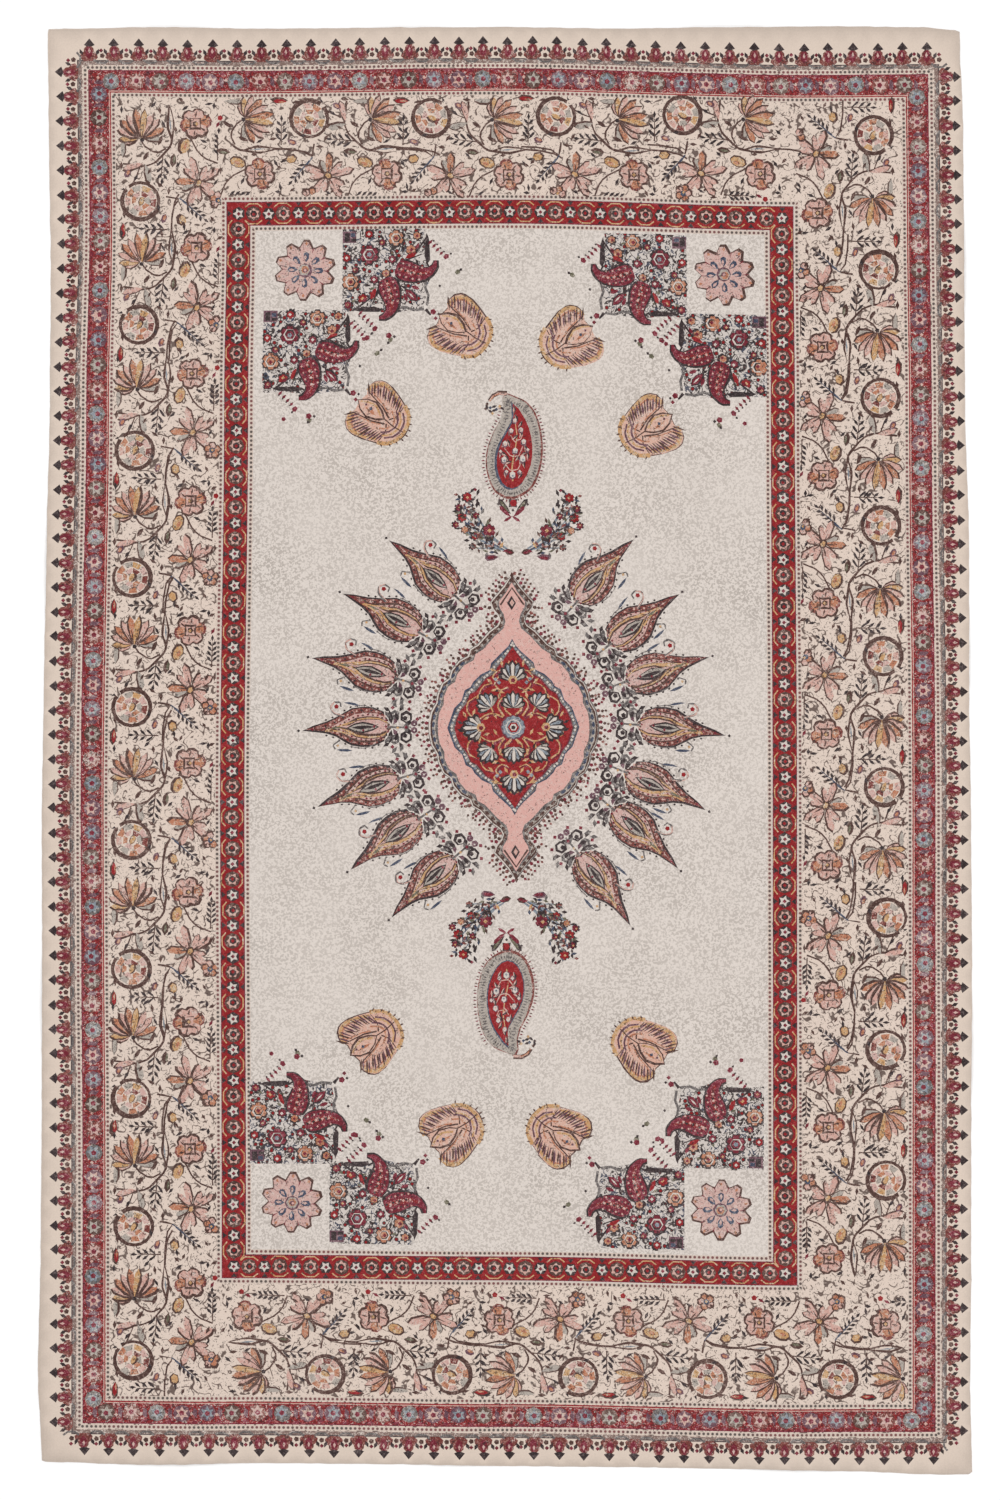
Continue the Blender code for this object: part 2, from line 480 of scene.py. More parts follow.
def vine_block(draw):
    """One repeat of the flowering border, 128 units long. Outwards is to the left, and the lotus opens upwards."""
    marks = []
    stem = smooth([(36.7, 70), (32.5, 62), (29.5, 46), (29, 33)], 2)
    spindle = smooth([(29, 36), (33.4, 22), (34.0, 13), (30.8, -1), (26.0, 12), (26.4, 22)], 2, True)
    marks += [
        ("brown", stroke(stem, 1.8)),
        ("brown", spindle),
        ("border_cotton", smooth([(29.2, 32), (31.6, 22), (32.0, 13), (30.4, 5), (28.0, 12), (28.2, 22)], 2, True)),
        ("grey_blue", leaf(16, 1.6, (30.2, 7), 94)),
        ("brown", stroke(smooth([(30.8, 1.5), (30.4, -3), (28.0, -7.4), (24, -12)], 2), 2.2)),
        ("brown", stroke(smooth([(24, -12), (14.4, -21.6), (3.4, -25.6), (-8, -24.4), (-18.6, -23.2)], 2), 1.9)),
        ("brown", stroke(smooth([(-1.6, -27), (-5.6, -37), (-10.4, -45)], 2), 1.6)),
        ("brown", stroke(smooth([(48, 6), (55.6, -9.6), (65, -18.4), (76.4, -22.8)], 2), 1.6)),
        ("brown", stroke(smooth([(24, -56), (36.6, -58.4), (31.6, -66), (29.2, -82), (29, -96)], 2), 1.7)),
        ("indigo", stroke(smooth([(36.6, -58), (44, -63), (50, -70)], 2), 1.4)),
        ("iron_black", leaf(14, 3.4, (-9.8, -43.4), 214, 0.5, -0.1)),
        ("iron_black", leaf(8.8, 3.4, (-4.2, -34), 232)),
    ]
    marks += feather((21.8, -14), (19.4, -37), 3, "iron_black", 9.4)
    marks += feather((76.2, -20), (76.6, 6), 4, "iron_black", 7.4)
    marks += feather((40, -61), (60, -78), 4, "iron_black", 7.4, "indigo")
    marks += feather((25, -89), (2, -88.6), 3, "iron_black", 8.6)
    marks += feather((62, -30), (70, -37), 2, "brown", 5.4)
    marks += petal("stone_grey", 20, 8.4, (2.6, -24.4), 292, 1, -0.12)
    marks += petal("pale_pink", 22, 8.0, (2, -25), 188, -1, 0.10)
    marks += petal("stone_grey", 18, 6.6, (-18.4, -18), 82, 1, 0.10)
    marks += lotus()
    marks += ringed_disc((-1.7, -60.8))
    marks += six_petal_flower((54.5, 16.7))
    marks += star_flower((55.8, -42.5))
    marks += small_flower((75.4, -60))
    marks += [
        ("brown", leaf(14.4, 7.0, (32.8, -12.6), 262)),
        ("olive", leaf(9.0, 3.0, (33.2, -14.6), 262)),
        ("brown", oval(9.0, (42.4, -5.2), 0.66, 70)),
        ("ochre", oval(7.6, (43.0, -5.6), 0.60, 70)),
        ("orange", oval(3.6, (43.6, -6.4), 0.5, 70)),
        ("brown", oval(6.4, (38.6, -79), 0.8, 100)),
        ("ochre", oval(4.9, (39.2, -79.4), 0.74, 100)),
        ("brown", leaf(17.6, 7.6, (-19.4, -81.6), 268, 0.55)),
        ("madder_red", leaf(14.0, 4.8, (-18.8, -82.8), 268, 0.55)),
        ("orange", leaf(8.0, 2.2, (-18.4, -84.4), 268)),
        ("brown", leaf(11.6, 4.4, (21.8, 5.6), 246)),
        ("brown", leaf(10.6, 4.4, (7.8, -11), 236)),
        ("plum", oval(5.0, (21.6, -78), 0.6, 70)),
        ("orange", oval(3.2, (21.6, -78), 0.5, 70)),
        ("plum", oval(4.8, (-14.2, -33), 0.66, 60)),
        ("orange", oval(2.8, (-14.2, -33), 0.6, 60)),
        ("brown", leaf(8.6, 3.4, (73.4, -26), 244)),
        ("brown", leaf(8.2, 2.6, (79.0, -26), 270)),
        ("crimson", leaf(7.6, 3.2, (74.4, 12), 60)),
        ("madder_red", oval(2.9, (79.6, 22))),
    ]
    strews = ((69, -68, 30), (71, -80, 120), (79, -90, 0), (73, -100, 40), (27.6, -54, 90), (20.8, 25, 100), (5, -33, 60), (-16.4, -79, 90),
              (36, 8, 80), (40, 30, 30), (63, 35, 20), (72, 30, 100), (46, -94, 60), (8.6, 32, 60), (-21, 27, 80), (66, -2, 150), (33, -28, 60),
              (42, -90, 100), (16.5, -70, 100), (-21, -30, 90), (22, -46, 140), (24, 12, 130), (44, 38, 150), (70, -46, 60), (66, 22, 60))
    strews = [(x + draw.uniform(-1, 1), y + draw.uniform(-1, 1), heading + draw.uniform(-15, 15)) for x, y, heading in strews]
    for x, y, heading in strews:
        marks.append(("brown" if draw.random() < 0.5 else "iron_black", leaf(draw.uniform(6.4, 8.9), draw.uniform(2.8, 4.0), (x, y), heading)))
    return marks


def field_rosette():
    """The pink flower with ten round lobes in each corner of the field."""
    marks = [("brown", rosette(10, 30.8, 23.6, blunt=0.62)), ("dusty_pink", rosette(10, 28.4, 21.4, blunt=0.58))]
    for i in range(10):
        heading = 36 * i + 90
        angle, side = math.radians(heading), math.radians(heading + 18)
        marks.append(("crimson", leaf(8.0, 1.3, (17.0 * math.cos(side), 17.0 * math.sin(side)), heading + 18)))
        marks.append(("orange", leaf(4.4, 3.0, (24.0 * math.cos(angle), 24.0 * math.sin(angle)), heading)))
        for lean in (-7, 7):
            foot = (20.4 * math.cos(angle + math.radians(lean)), 20.4 * math.sin(angle + math.radians(lean)))
            marks.append(("plum", leaf(5.4, 0.9, foot, heading + lean * 1.5)))
    for i in range(8):
        heading = 45 * i + 90
        angle = math.radians(heading)
        foot = (7.6 * math.cos(angle), 7.6 * math.sin(angle))
        marks.append(("indigo", leaf(10.4, 6.4, foot, heading, 0.6)))
        marks.append(("dusty_pink", leaf(6.4, 2.9, (foot[0] * 1.24, foot[1] * 1.24), heading, 0.6)))
    marks += [("plum", oval(7.4)), ("stone_grey", oval(6.0)), ("orange", oval(4.2)), ("plum", oval(2.6)), ("soft_pink", oval(1.6))]
    return marks


def comma_leaf(path):
    """A crimson paisley along a path of (x, y, width) points."""
    full = smooth(path, 2)
    marks = [("iron_black", swelling(full, 3.4)), ("crimson", swelling(full)), ("worn_red", swelling(full[2:-4], 0.0, 0.30))]
    for distance, radius in ((6.0, 1.2), (0.0, 1.5), (-6.0, 1.2)):
        for i, (x, y, _) in enumerate(stations(shifted([(x, y) for x, y, _ in full[2:-6]], distance), 3.3, 1.0)):
            marks.append((("iron_black", "pale_pink")[i % 2], oval(radius, (x, y))))
    return marks


def corner_block(draw):
    """The square of strewn flowers with its two paisleys. Its outer corner is at 0, 0 and it runs right and down."""
    marks = [("strewn_cotton", [(1, -1), (83, -1), (82, -10), (84, -24), (88, -50), (82, -80), (50, -86), (24, -82), (10, -83), (1, -84)])]
    greens = ("iron_black", "indigo", "iron_black", "olive")

    def free(x, y):
        return x + y < 112 and not (x < 17 and y < 15)

    for _ in range(44):
        x, y = draw.uniform(3, 84), draw.uniform(2, 84)
        if free(x, y):
            marks.append((draw.choice(greens), leaf(draw.uniform(5, 7.6), 2.8, (x, -y), draw.uniform(0, 360))))
    marks += [
        ("plum", [(1.5, -2.5), (15.6, -2.5), (15.6, -14), (1.5, -14)]),
        ("iron_black", [(3, -4), (8, -4), (8, -12.6), (3, -12.6)]),
        ("indigo", [(9.4, -4.4), (14, -4.4), (14, -8), (9.4, -8)]),
        ("iron_black", [(9.4, -9.6), (14.6, -9.6), (14.6, -12.6), (9.4, -12.6)]),
    ]
    blooms = ((28, 26, 9.6, "crimson", "grey_blue"), (55, 10, 8.0, "orange", "crimson"), (9.6, 53, 8.6, "orange", "crimson"),
              (5.6, 29, 4.2, "madder_red", "spared_cotton"), (28, 5.6, 4.2, "madder_red", "spared_cotton"), (41, 14, 3.4, "crimson", "ochre"),
              (14, 41, 3.4, "crimson", "ochre"), (33, 51, 4.2, "crimson", "spared_cotton"), (51, 31, 4.2, "crimson", "spared_cotton"),
              (70, 22, 5.2, "orange", "crimson"), (22, 70, 5.2, "madder_red", "ochre"), (7, 76, 4.0, "crimson", "orange"),
              (76, 8, 4.0, "orange", "crimson"), (45, 45, 4.0, "orange", "crimson"))
    for x, y, radius, ink, eye in blooms:
        marks += [("iron_black", rosette(6, radius + 1.2, radius * 0.86, (x, -y), blunt=1.0)),
                  (ink, rosette(6, radius - 0.4, radius * 0.7, (x, -y), blunt=1.0)), (eye, oval(radius * 0.42, (x, -y)))]
        if radius > 7:
            marks += [("spared_cotton", oval(radius * 0.66, (x, -y))), ("iron_black", oval(radius * 0.56, (x, -y))), (ink, oval(radius * 0.46, (x, -y))),
                      (eye, oval(radius * 0.26, (x, -y)))]

    def both_ways(ink, outline):
        return [(ink, outline), (ink, [(5 - y, 5 - x) for x, y in outline])]

    # The dark spikes at both ends, and the star-shaped edge round the paisleys
    marks += both_ways("iron_black", [(84.6, -5), (87.6, -12), (88.4, -32), (85.6, -36), (82.6, -28), (83.4, -14)])
    marks += both_ways("strewn_cotton", [(82.4, -34), (74, -20), (81.6, -12)])
    marks += both_ways("iron_black", stroke([(85.8, -8), (72, -27), (57, -38)], 2.0, 1.2))
    marks += both_ways("iron_black", stroke([(84.6, -34), (90, -44), (86.6, -54)], 1.9, 1.6))
    marks += both_ways("madder_red", leaf(13, 5.4, (64, -30), 24))
    marks += both_ways("iron_black", stroke([(60, -33), (70, -30), (80, -26)], 1.3))
    marks += both_ways("crimson", leaf(8, 4, (74, -22), 60))
    marks += both_ways("iron_black", leaf(8, 3, (62, -24), 100))
    marks += both_ways("thin_black", stroke(smooth([(85.5, -53), (84.2, -60), (87.4, -68), (86, -78)], 2), 2.6))
    marks += [
        ("iron_black", leaf(19, 9.8, (63, -60), 315)),
        ("crimson", leaf(16, 7.2, (64.4, -61.4), 315)),
        ("spared_cotton", leaf(9, 1.8, (67, -64), 315)),
        ("iron_black", stroke([(84, -81), (89, -87)], 3.4, 1.6)),
        ("crimson", oval(3.2, (92, -84))),
        ("crimson", oval(2.2, (94.5, -90.5))),
        ("iron_black", oval(1.6, (97, -86))),
    ]
    marks += both_ways("crimson", leaf(9, 4.2, (70, -58), 340))
    marks += both_ways("iron_black", leaf(7, 2.6, (62, -54), 300))
    for i in range(4):
        marks += both_ways("crimson", leaf(7.4 - i * 0.5, 3.0, (86.6 + i * 3.8, -17 - i * 3.6), 45))
        marks += both_ways("iron_black", oval(1.2, (92 + i * 3.4, -13 - i * 3.6)))
    trail = ((105, -29, 3.4, "crimson"), (109, -26, 1.6, "iron_black"), (116, -44, 3.2, "olive"), (119, -42, 2.0, "iron_black"))
    for x, y, radius, ink in trail:
        marks += both_ways(ink, oval(radius, (x, y), 0.8, 40))
    for x, y, radius, ink in ((23, -110, 2.4, "crimson"), (48, -107, 3.2, "crimson"), (53, -108, 1.8, "iron_black"), (98, -58, 1.6, "iron_black")):
        marks.append((ink, oval(radius, (x, y))))
    upper = [(54.6, -39.6, 8), (56.4, -40.2, 14), (60.6, -41.4, 18.4), (66.6, -43.4, 19.6), (74, -45.4, 17.0), (82, -46.0, 12.4), (89, -43.4, 8.0), (93.6, -38.0, 4.8), (94.4, -32.4, 2.0)]
    marks += comma_leaf(upper) + comma_leaf([(5 - y, 5 - x, width) for x, y, width in upper])
    return marks


def tulip_block():
    """The cupped flower that points to the middle: two hatched petals, an eye between them and a ribbed foot."""
    half = [(3, 20.6), (9.6, 19.4), (15.5, 22.6), (22, 21.6), (28.8, 16), (30.4, 7), (28.6, -2), (25, -12), (20.6, -22), (12.6, -30.6), (0, -34.4)]
    cup = smooth(half + [(-x, y) for x, y in half[-2::-1]], 2, True)
    marks = [("brown", [(x * 1.03, y * 1.03) for x, y in cup]), ("peach", cup)]
    for flip in (False, True):
        turned = mirrored if flip else (lambda outline: outline)
        rim = smooth([(13, 20.8), (21, 19.6), (27.2, 13.6), (28.0, 5), (24.6, -6), (20.4, -15)], 2)
        marks += [
            ("ochre", turned(stroke(rim, 5.0, 2.4))),
            ("orange", turned(stroke(shifted(rim, -2.6), 1.9, 1.4))),
            ("ochre", turned(stroke(smooth([(23.0, -17), (18, -26), (10, -31), (0, -32.6)], 2), 4.2, 3.4))),
        ]
        # Short hatching that runs in from the rim
        for i in range(14):
            y = -16 + i * 2.6
            reach = 20.6 + 5.6 * math.sin(math.pi * (i + 1.5) / 15)
            marks.append((("plum", "brown")[i % 2], turned(leaf(13.4 + 1.8 * (i % 3), 2.3, (reach - 12.2, y - 1), 14 + i * 2))))
        marks += [
            ("brown", turned(stroke(smooth([(3.4, -12), (8.8, 0), (10.8, 11), (12.6, 19.4)], 2), 1.7, 1.0))),
            ("orange", turned(stroke(smooth([(6.8, -8), (10.8, 1), (12.8, 11), (15, 17.4)], 2), 1.5, 0.8))),
            ("brown", turned(stroke(smooth([(2.4, -13), (10, -17.4), (21, -17)], 2), 1.5, 0.9))),
        ]
    for width, drop, ink in ((10.6, -19.0, "orange"), (13, -22.4, "plum"), (14.6, -25.6, "ochre"), (15.6, -28.8, "plum")):
        marks.append((ink, stroke(smooth([(-width, drop + 9), (-width * 0.6, drop + 2.6), (0, drop), (width * 0.6, drop + 2.6), (width, drop + 9)], 2), 1.7)))
    for x in range(-24, 25, 6):
        marks.append(("brown", leaf(4.4, 2.0, (x * 0.9, -34.4 + 0.024 * x * x), 270 + x * 1.6)))
    marks += [
        ("brown", stroke([(0.4, -9), (-0.6, -20), (0.8, -32)], 1.5, 1.0)),
        ("brown", leaf(34.5, 19.6, (0, -10.0))),
        ("peach", leaf(30.4, 15.4, (0, -7.8))),
        ("ochre", stroke(smooth([(0.6, -4), (5.6, 5), (4.4, 14), (0.6, 21)], 2), 2.2, 1.4)),
        ("orange", leaf(14, 3.2, (-2.6, 0), 86)),
        ("indigo", oval(2.0, (-0.6, 8.4))),
        ("plum", oval(1.5, (0.6, 14.6))),
    ]
    return marks


def boteh_body(grow):
    """The leaf shape of a boteh, its foot down. grow is how far the outline stands outside the red layer."""
    half = ((-33, 0), (-32.4, 8.4), (-28.4, 14.4), (-20, 18.4), (-9, 19.0), (2, 17.4), (10, 13.0), (18, 8.0), (27, 4.4), (40, 1.7))
    right = [(max(width + grow, 0.4) if 0 < i else 0.0, y + (grow if y > 20 else grow * 0.5) - (grow if i == 0 else 0)) for i, (y, width) in enumerate(half)]
    outline = [(x, y) for x, y in right] + [(0, half[-1][0] + 9 + grow * 2)] + [(-x, y) for x, y in right[:0:-1]]
    return [(x - 3.6 * max(0.0, (y - 10) / 40) ** 2, y) for x, y in outline]


def boteh_block():
    """One of the fourteen leaf shapes round the medallion, tip up, with its curl, leaves and scrolls."""
    marks = [("iron_black", boteh_body(1.6)), ("rust", boteh_body(0.0)), ("brown", boteh_body(-3.6)), ("dusty_pink", boteh_body(-4.8)),
             ("brown", boteh_body(-7.4)), ("ochre", boteh_body(-8.4)), ("brown", boteh_body(-10.0)), ("dusty_pink", boteh_body(-11.6))]
    rows = ((-1.9, 5.0, "pale_pink", "iron_black", 1.5), (2.9, 7.0, "iron_black", "iron_black", 1.5), (-6.1, 5.0, "crimson", "brown", 1.5))
    for grow, spacing, first, second, radius in rows:
        for i, (x, y, heading) in enumerate(stations(boteh_body(grow), spacing, 2.0, True)):
            if y < 31:
                marks.append((second if i % 2 else first, oval(radius, (x, y), 0.8, math.degrees(heading))))
    marks += [
        ("iron_black", leaf(33, 12.0, (0, -25), 92)),
        ("stone_grey", leaf(29, 8.4, (0, -23), 92)),
        ("iron_black", leaf(24, 4.2, (0, -21), 92)),
        ("crimson", oval(1.9, (0.6, -20), 0.8)),
        ("crimson", oval(1.7, (-3.2, -9), 0.8)),
        ("ochre", stroke(smooth([(-7, 4), (-4.6, 12), (-3.0, 20), (-3.6, 30)], 2), 2.0, 1.2)),
        ("ochre", stroke(smooth([(6, 2), (3.4, 11), (0, 20), (-2.6, 29)], 2), 1.6, 1.0)),
        ("olive", leaf(13, 2.4, (-0.8, 12), 96)),
        ("crimson", oval(1.6, (-2.4, 42))),
        ("iron_black", oval(1.7, (-4.0, 56))),
    ]
    curl = [(11, 10), (14, 20), (20, 24), (25.4, 20), (25, 14.4), (20.6, 13.6)]
    marks += [
        ("thin_black", stroke(smooth(curl, 3), 2.4, 1.6)),
        ("pale_pink", stroke(smooth(curl[:4], 3), 0.9)),
        ("madder_red", oval(2.5, (20.6, 18.4))),
        ("indigo", leaf(17, 3.0, (25.4, 11), 262, 0.5, -0.06)),
        ("indigo", leaf(16, 3.2, (-22.8, 18), 264, 0.5, 0.06)),
        ("thin_black", stroke(smooth([(-13, 14), (-18, 21), (-22.6, 19)], 3), 1.6, 1.2)),
        ("thin_black", stroke(smooth([(-19.6, 4), (-21.4, -10), (-16.6, -22)], 3), 0.9)),
        ("thin_black", stroke(smooth([(21, 0), (22, -11), (17, -22)], 3), 0.9)),
        ("ochre", oval(1.7, (-18, 17))),
    ]
    # The cluster of scrolls and leaves below the foot
    marks.append(("thin_black", stroke([(0, -33), (0, -57)], 2.4, 1.6)))
    for side in (-1, 1):
        for x, y, radius, ink in ((10.2, -52, 6.6, "iron_black"), (12.4, -40.6, 5.4, "thin_black"), (3.6, -60, 3.6, "plum")):
            marks += [
                (ink, oval(radius, (side * x, y))),
                ("field_cotton", oval(radius - 2.5, (side * x - side * 0.5, y + 0.5))),
                (ink, oval(radius * 0.4, (side * x - side * 1.4, y + 1.2))),
            ]
        for length, width, x, y, lean, ink in ((14, 5.4, 3, -37.4, 80, "iron_black"), (11, 4.4, 8, -37.4, 50, "thin_black"), (8.8, 5.0, 15.6, -45, 120, "iron_black"),
                                               (8.8, 4.4, 2, -39, 120, "plum"), (8.8, 5.0, 0.6, -49, 150, "thin_black"), (8, 4.2, 16, -36, 30, "iron_black"),
                                               (8.6, 4.6, 17, -49, 70, "thin_black"),
                                               (7.0, 4.0, 1.0, -54, 110, "iron_black"),
                                               (9.0, 4.6, 6.0, -44, 70, "iron_black"), (8.6, 4.4, 20, -43, 50, "thin_black")):
            marks.append((ink, leaf(length, width, (side * x, y), 90 - side * lean)))
        marks += [
            ("crimson", oval(2.2, (side * 20.0, -38.4))),
            ("crimson", oval(2.2, (side * 8.2, -63.2))),
            ("crimson", oval(2.2, (side * 18.4, -55))),
        ]
    marks += [("crimson", oval(2.0, (0, -52))), ("ochre", oval(1.6, (0, -43)))]
    return marks


def spray_block(draw):
    """A spray of flowers from its root at 0, 0, leaning to the upper left."""
    marks = []
    heads = ((-44, 54, 4.6, "madder_red"), (-52, 44, 3.4, "crimson"), (-49, 34, 4.6, "madder_red"), (-22, 21, 6.4, "crimson"),
             (-46, 22, 3.2, "orange"), (-38, 5, 3.0, "rust"), (-35, 36, 3.2, "crimson"), (-55, 27, 3.2, "crimson"), (-36, 15, 3.6, "madder_red"))
    for x, y, _, _ in heads:
        marks.append(("grey_blue", stroke(smooth([(0, 0), (x * 0.42, y * 0.2 + 3), (x * 0.8, y * 0.72), (x, y)], 2), 2.0, 0.9)))
    marks += [("indigo", stroke([(-2, 1), (-16, 7), (-28, 15)], 2.2, 0.8)), ("spared_cotton", stroke([(-4, 2), (-16, 9), (-24, 17)], 1.0)),
              ("brown", leaf(11, 7, (3.6, -1), 168, 0.45)), ("crimson", leaf(7, 3, (1.6, -1), 168, 0.45))]
    leaves = []
    for _ in range(140):
        share = draw.uniform(0.16, 1.0)
        x = -46 * share ** 0.6 + draw.uniform(-11, 11)
        y = 58 * share ** 1.25 - 6 + draw.uniform(-9, 9)
        leaves.append((draw.choice(("iron_black", "indigo", "olive", "thin_black", "brown", "iron_black", "rust")),
                       leaf(draw.uniform(4.6, 8.0), draw.uniform(2.2, 3.4), (x, y), draw.uniform(60, 200))))
    marks += leaves[:112]
    for x, y, radius, ink in heads:
        marks += [("iron_black" if ink != "orange" else "brown", rosette(6, radius + 0.9, radius * 0.8, (x, y), blunt=1.0)),
                  (ink, rosette(6, radius, radius * 0.7, (x, y), blunt=1.0)), ("ochre", oval(radius * 0.34, (x, y)))]
    marks += leaves[112:]
    marks += [("iron_black", leaf(8, 3, (-41, 58), 48)), ("crimson", oval(1.9, (-36, 62))), ("plum", leaf(14, 7.0, (-12, -5), 186, 0.6)),
              ("crimson", leaf(10, 3.6, (-14, -5), 186, 0.6)), ("ochre", leaf(8, 3.4, (-12, 3), 60)), ("crimson", leaf(7, 2.6, (-9, 0), 20))]
    return marks


def large_paisley_block():
    """The tall paisley above the medallion, with its curl to the left and its tuft below. 0, 0 is in its middle."""
    outside = [(-9, 55), (-1, 52), (12, 46), (21, 34), (26, 18), (27.8, 0), (26, -19), (18, -39), (4, -49.4), (-9, -50.4),
               (-21, -42), (-28, -24), (-28.4, -5), (-22.4, 14), (-15, 28), (-12, 40), (-13, 48)]
    outline = smooth([(x, y) for x, y in outside], 3, True)
    band = smooth([(x * 0.9 - 0.2, y * 0.93 - 0.4) for x, y in outside], 3, True)
    red = smooth([(-3, 44), (6, 34), (13, 20), (16.5, 2), (15.0, -17), (7, -34), (-3, -40.5), (-13, -35), (-18.6, -19), (-17, -1),
                  (-10, 13), (-3.4, 25), (-2.6, 35)], 2, True)
    marks = [("rust", outline), ("stone_grey", smooth([(x * 0.95, y * 0.965) for x, y in outside], 3, True))]
    for x, y, heading in stations(band, 2.9, 0.0, True):
        inward = heading + math.pi / 2
        marks.append(("thin_black", leaf(5.6, 1.5, (x - 0.3 * math.cos(inward), y - 0.3 * math.sin(inward)), math.degrees(inward) + 180)))
    for i, (x, y, heading) in enumerate(stations(outline, 3.4, 0.0, True)):
        if y < 42:
            outward = heading + math.pi / 2
            marks.append((("crimson", "brown")[i % 2], leaf(4.0, 1.5, (x, y), math.degrees(outward))))
    marks += [("indigo", [(x * 1.06 + 0.1, y * 1.04) for x, y in red]), ("madder_red", red)]
    stem = smooth([(-2, -33), (-3, -18), (0, -2), (2, 14), (-1, 30)], 3)
    marks.append(("ochre", stroke(stem, 1.5, 0.8)))
    for x, y, heading in ((-12, -22, 60), (-6, -14, 120), (4, -17, 60), (10, -20, 110), (-13, 0, 70), (-5, 1, 110), (4.6, 10, 70), (11, -4, 100), (-6, 12, 80),
                          (3, 20, 60), (-1, 34, 90), (7, 12, 120), (-9, -30, 100), (3, -31, 60), (-15, -10, 80), (12.6, -12, 90), (-3, 8, 40),
                          (5, -8, 30), (-8, -8, 150), (0, -14, 60), (2.6, 26, 110), (-11, -16, 20)):
        marks.append(("iron_black", leaf(8.6, 3.8, (x, y), heading)))
        marks.append(("pale_pink", leaf(7.4, 1.7, (x, y), heading)))
    for x0, y0, x1, y1 in ((-2.6, -22, -10, -14), (-2.6, -22, 7, -13), (-1, -8, -10, 0), (-1, -8, 8, 2), (1, 6, -4, 13), (1.6, 8, 8, 14)):
        marks.append(("pale_pink", stroke(smooth([(x0, y0), ((x0 + x1) / 2 + 1, y0 + 1), (x1, y1)], 2), 1.2, 0.8)))
    for x, y, size in ((-2, -27, 3.6), (-10.4, -12, 3.4), (8, -11, 3.6), (0.6, -3, 3.2), (-9.4, 4, 3.0), (9, 6, 3.0), (-3.4, 17, 2.6),
                       (6.4, 18, 2.6), (0, 27, 2.4), (-14, -4, 2.0), (13, -2, 2.0), (-8, -24, 2.2), (5, -24, 2.2)):
        marks += [("plum", oval(size + 0.8, (x, y), 0.86, 90)), ("spared_cotton", oval(size, (x, y), 0.8, 90)),
                  ("grey_blue" if size > 3 else "pale_pink", oval(size * 0.42, (x, y)))]
    curl = [(-8, 54), (-16, 54.5), (-22, 51.4), (-25.4, 46.4)]
    marks += [("brown", stroke(smooth(curl, 3), 5.0, 3.6)), ("pale_pink", stroke(smooth(curl, 3), 2.6, 1.4)),
              ("orange", stroke(smooth(curl[1:], 3), 1.2))]
    for i, (x, y) in enumerate(((-24, 40), (-29, 38.6), (-22.4, 34.4), (-18, 38.4), (-27.6, 43.4), (-15.4, 41.4))):
        marks += [("iron_black", leaf(6.4, 2.8, (x, y), 60 * i + 20)), (("indigo", "brown", "ochre")[i % 3], oval(1.8, (x, y)))]
    for side in (-1, 1):
        marks += [
            ("iron_black", leaf(20, 6.0, (-2 + side * 2.0, -66), 90 - side * 44, 0.6, 0.08 * side)),
            ("olive", leaf(16, 3.0, (-2 + side * 2.4, -65), 90 - side * 44, 0.6, 0.08 * side)),
            ("crimson", leaf(16, 4.6, (-2 + side * 0.8, -69.0), 90 - side * 52, 0.6, 0.08 * side)),
            ("crimson", leaf(10, 3.4, (-2, -68), 270 + side * 56)),
            ("iron_black", oval(1.5, (-2 + side * 14.6, -56))),
        ]
    marks += [("iron_black", rosette(4, 6.0, 3.6, (-2, -55.0), 45)), ("madder_red", oval(3.8, (-2, -55.0))), ("iron_black", oval(1.6, (-2, -62.0)))]
    return marks


def four_ways(quarter):
    """A closed outline from its upper right quarter, which runs from the top tip to the right-hand corner."""
    right = quarter + [(x, -y) for x, y in quarter[-2::-1]]
    return right + [(-x, y) for x, y in right[-2:0:-1]]


